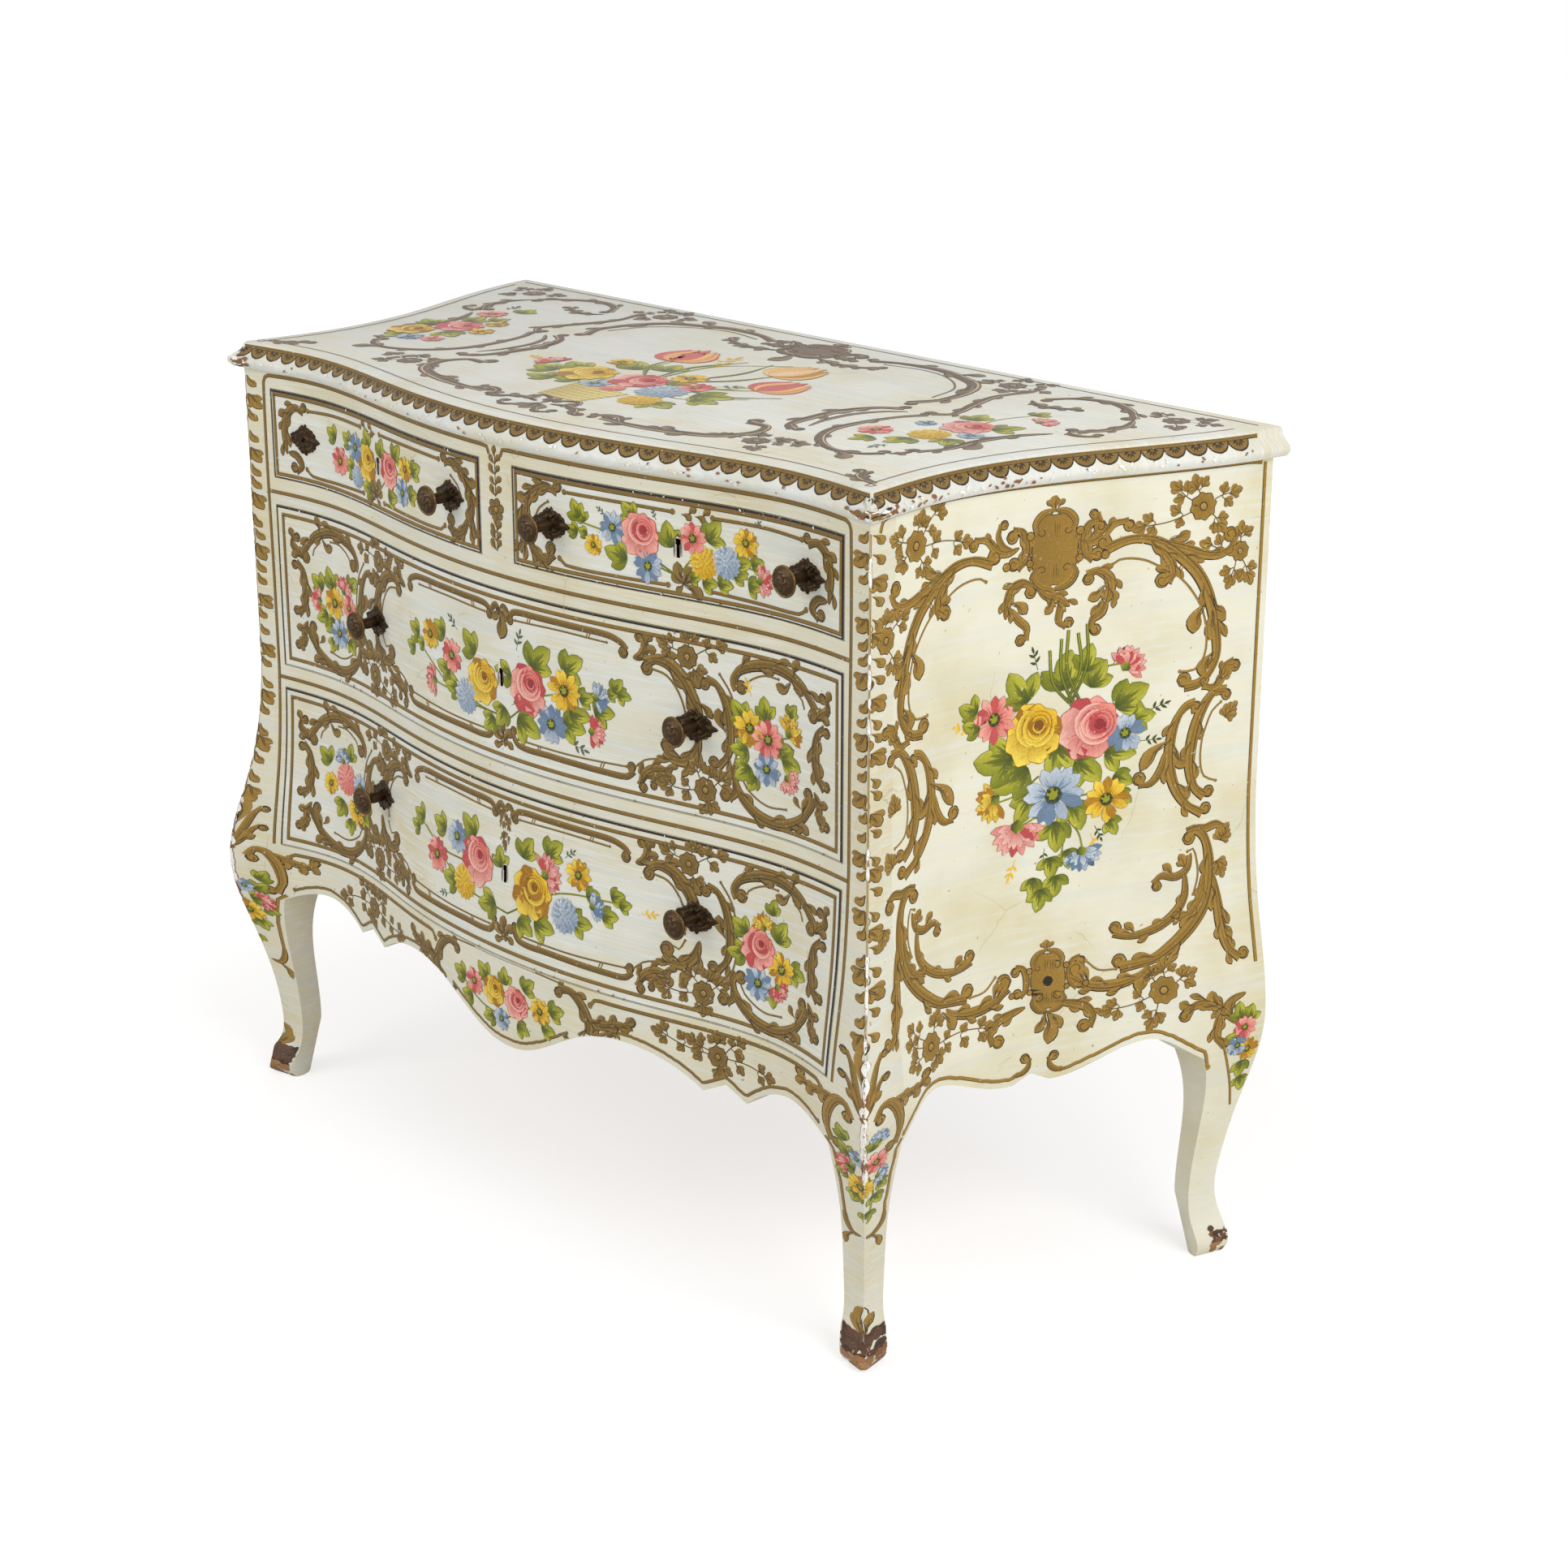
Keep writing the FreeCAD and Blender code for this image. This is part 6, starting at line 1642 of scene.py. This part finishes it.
def top_flowers(pen):
    """The basket of flowers in the middle of the top and the bouquets beside it."""
    posy(pen, (-15, -340),
         ("stem", (-15, -300, (-70, -210), 0.15), (-10, -290, (66, -190), -0.12), (0, -300, (92, -244), -0.2),
          (-15, -290, (-20, -180), 0.02), (-15, -280, (40, -140), 0.2), (10, -290, (130, -290), -0.4)),
         ("leaf", (-75, -255, 44), (-40, -240, 36), (-125, -300, 40), (-140, -330, 40), (-110, -360, 36),
          (30, -290, 34), (95, -310, 46), (105, -330, 34), (85, -375, 36), (-45, -345, 34), (-80, -350, 34)),
         ("twig", (-30, -190, 34, 0, "yellow"), (-20, -210, 26, 0, "yellow"), (60, -270, 22),
          (-175, -305, 22, 0, "yellow")))
    basket(pen, (-15, -390), 84, 62)
    posy(pen, (-15, -330),
         ("daisy", (-40, -348, 18, "blue"), (-105, -255, 16, "yellow"), (50, -288, 20, "pink"),
          (12, -262, 22, "yellow")),
         ("half", (-165, -302, 20, "pink")),
         ("ball", (40, -326, 30, "blue"), (55, -370, 24, "yellow"), (-8, -352, 15, "pink")),
         ("rose", (-84, -316, 36, "yellow"), (-15, -305, 35, "pink")))
    green, deep = pen.colour("leaf"), pen.colour("leaf_dark")
    for start, bow, stop in (((-30, -290), (-66, -250), (-76, -212)), ((6, -290), (52, -236), (64, -194)),
                             ((16, -296), (78, -274), (104, -256)),
                             ((-20, -280), (-30, -220), (-8, -160)), ((20, -300), (100, -300), (150, -262)),
                             ((10, -280), (30, -210), (20, -150))):
        points = [complex(*start), complex(*bow), complex(*stop)]
        pen.stroke(points, 5.4, across(deep, green), FLOWER - 0.06, blade, 6.0)
        pen.stroke(points, 1.8, plain(mixed(green, deep, 0.4)), FLOWER - 0.02, even, 6.0)
    tulip(pen, complex(-78, -180), 100, 70, "pink")
    tulip(pen, complex(68, -160), 75, 68, "yellow", "pink")
    tulip(pen, complex(110, -224), 80, 64, "pink")
    posy(pen, (-395, -270),
         ("leaf", (-405, -212, 34), (-360, -290, 34), (-435, -256, 30), (-400, -335, 28), (-405, -140, 28),
          (-385, -195, 24)),
         ("twig", (-430, -150, 22)),
         ("daisy", (-420, -178, 19, "pink"), (-345, -255, 16, "yellow"), (-366, -215, 14, "yellow"),
          (-350, -320, 14, "pink"), (-378, -328, 16, "blue")),
         ("rose", (-412, -298, 28, "yellow"), (-386, -250, 31, "pink")))
    posy(pen, (370, -245),
         ("stem", (372, -220, (384, -130))),
         ("leaf", (348, -186, 30), (404, -204, 34), (400, -285, 30), (362, -312, 32), (330, -330, 26),
          (382, -130, 22)),
         ("twig", (366, -330, 20)),
         ("half", (408, -152, 17, "pink")),
         ("daisy", (398, -250, 14, "blue"), (330, -240, 11, "blue"), (316, -296, 19, "pink")),
         ("ball", (366, -274, 22, "yellow")),
         ("rose", (371, -222, 29, "pink")))


def paint_top(rim):
    """Paint the top: a large panel with a basket of flowers between two small ones, inside a thin line."""
    face = Face(["top_board"], (1, 0, 0), (0, 1, 0), (0, 0, 1))
    pen = pen_for(face, "top_gold", "top")
    inset, step = 16.0, 12.0
    ring = (rim.spot_on_rim(step * k + 20.0) for k in range(int(rim.run[-1] / step) - 3))
    inner = [at - out * inset * MM for at, out in ring]
    pen.stroke([complex(at.x, at.y) / MM for at in inner], 2.2, pen.flat("gold"), GOLD, even, 8.0)
    pen = pen.at(0, TOP_BACK)
    line(pen, [(-560, -14), (0, -14), (560, -14)], 2.2)
    for half in pen.halves():
        top_scrolls(half)
    shield(pen, (-5, -64), 62, 62, False)
    gold_leaf(pen, (-5, -94), -90, 40)
    for half in (pen, pen.at(-10, 0, mirror=True)):
        frond(half, [(24, -88), (52, -96), (84, -94), (112, -82)], 8.0, 3, -1, 0, 5.0)
        frond(half, [(6, -446), (26, -440), (46, -448), (58, -462)], 8.0, 3, 1, 0, 5.0)
        scroll(half, [(0, -430), (18, -420), (30, -430)], 7.0, 4.0, -4.0)
        scroll(half, [(4, -462), (20, -478), (34, -470)], 7.0, 0, 4.5)
    for turn in (-90, -50, -130, 90):
        gold_leaf(pen, (-5, -450), turn, 28)
    for half in pen.halves():
        scroll(half, [(470, -452), (454, -450), (438, -441), (430, -426)], 9.0, 0, 5.0)
    top_flowers(pen)
    return face.finish("top_painting", "carcass")


# ---------------------------------------------------------------- fittings

def lumps(node):
    """Low and high corners of each separate lump of a node, from left to right."""
    bm = merged(node)
    boxes, seen = [], set()
    for first in bm.verts:
        if first in seen:
            continue
        lump, waiting = [], [first]
        seen.add(first)
        while waiting:
            vert = waiting.pop()
            lump.append(vert.co.copy())
            for edge in vert.link_edges:
                other = edge.other_vert(vert)
                if other not in seen:
                    seen.add(other)
                    waiting.append(other)
        boxes.append([Vector(pick(co[axis] for co in lump) for axis in range(3)) for pick in (min, max)])
    bm.free()
    return sorted(boxes, key=lambda box: box[0].x)


def cast_knobs(name):
    """Turned and chased knobs: a domed disc with a relief of leaves inside a rolled rim, on a waisted neck."""
    node = name + "_drawer_knobs"
    rim = size_of("knob_radius")
    dome = tuple((0.9 * k, 3.6 * (0.9 * k / 12.6) ** 2.2) for k in range(15))
    turned = (*dome, (13.2, 4.2), (13.9, 3.4), (14.8, 3.3), (rim, 4.1), (rim, 5.0), (14.6, 5.8), (12.5, 6.4),
              (9.0, 7.4), (6.8, 9.0), (5.6, 12.0), (5.4, 15.0), (6.0, 18.0))
    bm = bmesh.new()
    rubbed = bm.verts.layers.float.new("rubbed")
    for low, high in lumps(node):
        centre = Vector(((low.x + high.x) / 2, low.y, (low.z + high.z) / 2))
        deep = (high.y - low.y) / MM
        profile = [*turned, (6.4, max(19.0, deep))]
        chain = [bm.verts.new(centre + Vector((radius, back, 0.0)) * MM) for radius, back in profile]
        wire = [bm.edges.new(pair) for pair in zip(chain, chain[1:])]
        bmesh.ops.spin(bm, geom=chain + wire, cent=centre, axis=(0.0, 1.0, 0.0), angle=2.0 * math.pi, steps=72,
                       use_merge=True)
        for vert in bm.verts:
            arm = (vert.co - centre) / MM
            radius = math.hypot(arm.x, arm.z)
            if abs(arm.x) > 2.0 * rim or radius > 1.001 * rim or arm.y > 6.0:
                continue
            if radius < 12.8:
                angle = math.atan2(arm.z, arm.x)
                fade = math.sin(math.pi * min(1.0, radius / 12.4))
                leaves = math.cos(6.0 * angle + 1.6 * math.sin(0.8 * radius)) * fade
                curls = math.sin(3.0 * angle - 1.1 * radius) * min(1.0, radius / 5.0)
                relief = 0.6 * leaves + 0.4 * curls + (0.5 if radius < 2.0 else 0.0)
                vert.co.y -= 0.6 * MM * relief
                vert[rubbed] = max(0.0, 0.55 * relief)
            else:
                vert[rubbed] = 0.42
    bmesh.ops.remove_doubles(bm, verts=bm.verts, dist=0.01 * MM)
    bmesh.ops.recalc_face_normals(bm, faces=bm.faces)
    for face in bm.faces:
        face.smooth = True
    piece = keep(bm, node + "_cast", name + "_drawer", "cast_bronze")
    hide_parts(node)
    return piece


def cast_plates(name):
    """Cast back plates: a lozenge of leaves in relief, hugging the drawer's front."""
    node = name + "_drawer_plates"
    ground = Face([name + "_drawer_front"], *FRONT_VIEW)
    bm = bmesh.new()
    rubbed = bm.verts.layers.float.new("rubbed")
    for low, high in lumps(node):
        middle, half = (low + high) / 2 / MM, (high - low) / 2 / MM
        made = bmesh.ops.create_grid(bm, x_segments=36, y_segments=28, size=1.0)["verts"]
        for vert in made:
            x, y = vert.co.x, vert.co.y
            share, angle = max(abs(x), abs(y)), math.atan2(y, x)
            lozenge = 1.0 / (abs(math.cos(angle)) ** 1.25 / half.x ** 1.25
                             + abs(math.sin(angle)) ** 1.25 / half.z ** 1.25) ** 0.8
            edge = lozenge * (0.93 + 0.05 * math.cos(9.0 * angle + 1.5 * math.sin(4.0 * angle))
                              + 0.03 * math.cos(17.0 * angle))
            wave, ripple = share * math.cos(angle), share * math.sin(angle)
            leaves = math.sin(10.0 * wave + 2.2 * math.sin(6.0 * ripple))
            curls = math.cos(9.0 * ripple + 1.8 * math.sin(5.0 * wave))
            relief = 0.5 + 0.5 * leaves * curls
            lift = 0.2 if share > 0.97 else 1.5 + 1.3 * relief + 1.2 * (1.0 - share)
            spot = complex(middle.x, middle.z) + cmath.rect(share * edge, angle)
            vert.co = ground.place(spot, lift)
            vert[rubbed] = max(0.0, 0.8 * relief - 0.32)
        for face in {face for vert in made for face in vert.link_faces}:
            face.smooth = True
            face.normal_update()
            if face.normal.y > 0.0:
                face.normal_flip()
    piece = keep(bm, node + "_cast", name + "_drawer", "dark_cast_brass")
    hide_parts(node)
    return piece


# ---------------------------------------------------------------- stage

WHITE = (1.0, 1.0, 1.0, 1.0)
LAMP_AIM = Vector((0.0, 0.0, 0.4))    # what the lamps look at
# Name, place, size in metres and share of the key's power.
LAMPS = (("key_lamp", (3.0, -0.4, 2.2), 2.2, 1.1), ("front_lamp", (-0.9, -3.0, 2.2), 2.4, 0.7))


def lay_floor(scene):
    """A pale floor that fades into the white room."""
    bm = bmesh.new()
    bmesh.ops.create_grid(bm, x_segments=1, y_segments=1, size=9.0)
    mesh = bpy.data.meshes.new("floor")
    bm.to_mesh(mesh)
    bm.free()
    floor = bpy.data.objects.new("floor", mesh)
    scene.collection.objects.link(floor)
    material = bpy.data.materials.new("pale_floor")
    material.use_nodes = True
    tree = material.node_tree
    tree.nodes.clear()
    seen = add(tree, "ShaderNodeLightPath").outputs["Is Camera Ray"]
    lit = add(tree, "ShaderNodeBsdfDiffuse", {"Color": (0.8, 0.8, 0.8, 1.0)}).outputs[0]
    dim = add(tree, "ShaderNodeBsdfDiffuse", {"Color": (0.6, 0.6, 0.6, 1.0)}).outputs[0]
    spot = add(tree, "ShaderNodeTexCoord").outputs["Object"]
    reach = add(tree, "ShaderNodeVectorMath", {0: spot}, operation="LENGTH").outputs["Value"]
    far = ramp(tree, reach, 0.7, 2.2, 0.6, 1.0)
    glow = add(tree, "ShaderNodeEmission", {"Color": WHITE, "Strength": far}).outputs[0]
    white = add(tree, "ShaderNodeAddShader", {0: dim, 1: glow}).outputs[0]
    pale = add(tree, "ShaderNodeMixShader", {0: seen, 1: lit, 2: white}).outputs[0]
    add(tree, "ShaderNodeOutputMaterial", {"Surface": pale})
    mesh.materials.append(material)


def light_room(scene, stage):
    """An even white room, seen at full strength, and two large soft lamps."""
    world = bpy.data.worlds.new("white_room")
    scene.world = world
    world.use_nodes = True
    tree = world.node_tree
    tree.nodes.clear()
    ray = add(tree, "ShaderNodeLightPath").outputs
    seen = add(tree, "ShaderNodeMath", {0: ray["Is Camera Ray"], 1: ray["Is Glossy Ray"]}, operation="MAXIMUM")
    soft = add(tree, "ShaderNodeBackground", {"Color": WHITE, "Strength": stage.sky}).outputs[0]
    bright = add(tree, "ShaderNodeBackground", {"Color": WHITE, "Strength": 1.0}).outputs[0]
    both = add(tree, "ShaderNodeMixShader", {0: seen.outputs[0], 1: soft, 2: bright}).outputs[0]
    add(tree, "ShaderNodeOutputWorld", {"Surface": both})
    for name, place, size, share in LAMPS:
        lamp = bpy.data.lights.new(name, "AREA")
        lamp.shape = "DISK"
        lamp.size = size
        lamp.energy = stage.key * share
        holder = bpy.data.objects.new(name, lamp)
        holder.location = place
        holder.rotation_euler = (LAMP_AIM - Vector(place)).to_track_quat("-Z", "Y").to_euler()
        scene.collection.objects.link(holder)


def set_camera(scene, stage):
    """The photograph's camera."""
    az, el = stage.azimuth, stage.elevation
    back = Vector((math.sin(az) * math.cos(el), -math.cos(az) * math.cos(el), math.sin(el)))
    right = Vector((math.cos(az), math.sin(az), 0.0))
    up = back.cross(right)
    turn = Matrix((right, up, back)).transposed().to_4x4()
    lens = bpy.data.cameras.new("camera")
    lens.sensor_width = 36.0
    lens.lens = stage.lens
    lens.shift_x, lens.shift_y = stage.shift
    camera = bpy.data.objects.new("camera", lens)
    camera.matrix_world = Matrix.Translation(stage.eye) @ turn
    scene.collection.objects.link(camera)
    scene.camera = camera


# ---------------------------------------------------------------- operators

class ChestStep(bpy.types.Operator):
    """Common part of the steps."""
    bl_options = {"REGISTER", "UNDO"}


class CHEST_OT_stage(ChestStep):
    """Set the floor, the light and the camera"""
    bl_idname = "chest.stage"
    bl_label = "Stage"

    def execute(self, context):
        scene, stage = context.scene, context.scene.chest_stage
        scene.view_settings.view_transform = "Standard"
        lay_floor(scene)
        light_room(scene, stage)
        set_camera(scene, stage)
        return {"FINISHED"}


class CHEST_OT_carcass(ChestStep):
    """Paint the carcass, legs, sides and top"""
    bl_idname = "chest.carcass"
    bl_label = "Carcass"

    def execute(self, context):
        for node in PAINTED_FRONT:
            smooth_copy(node, "carcass", "rail_paint")
        for node in PAINTED_SIDE:
            smooth_copy(node, "carcass", "side_paint")
        smooth_copy("top_board", "carcass", "top_paint", crease=50.0)
        refinish(BARE_INSIDE, "bare_softwood")
        paint_front()
        for side in SIDES:
            paint_side(side)
            paint_corner(side)
            paint_back_knee(side)
        paint_top(paint_rim())
        return {"FINISHED"}


class CHEST_OT_drawers(ChestStep):
    """Paint the drawer fronts and finish their boxes and locks"""
    bl_idname = "chest.drawers"
    bl_label = "Drawers"

    def execute(self, context):
        for name in DRAWERS:
            smooth_copy(name + "_drawer_front", name + "_drawer", "front_paint")
            refinish([name + "_" + part for part in BARE_DRAWER], "bare_softwood")
            refinish([name + "_lock_case", name + "_lock_bolt"], "dull_iron")
            cast_plates(name)
            cast_knobs(name)
            paint_drawer(name)
            keyhole_shade_lining(name)
        return {"FINISHED"}


STEPS = (CHEST_OT_stage, CHEST_OT_carcass, CHEST_OT_drawers)


class CHEST_PT_panel(bpy.types.Panel):
    """Lists the steps that dress the chest"""
    bl_label = "Painted chest"
    bl_idname = "CHEST_PT_panel"
    bl_space_type = "VIEW_3D"
    bl_region_type = "UI"
    bl_category = "Chest"

    def draw(self, context):
        for step in STEPS:
            self.layout.operator(step.bl_idname)


CLASSES = (ChestPaints, ChestSizes, StageSettings, *STEPS, CHEST_PT_panel)


def register():
    for item in CLASSES:
        bpy.utils.register_class(item)
    bpy.types.Scene.chest_paints = PointerProperty(type=ChestPaints)
    bpy.types.Scene.chest_sizes = PointerProperty(type=ChestSizes)
    bpy.types.Scene.chest_stage = PointerProperty(type=StageSettings)


def unregister():
    del bpy.types.Scene.chest_stage
    del bpy.types.Scene.chest_sizes
    del bpy.types.Scene.chest_paints
    for item in reversed(CLASSES):
        bpy.utils.unregister_class(item)


def main():
    register()
    for step in STEPS:
        group, name = step.bl_idname.split(".")
        getattr(getattr(bpy.ops, group), name)()


if __name__ == "__main__":
    main()
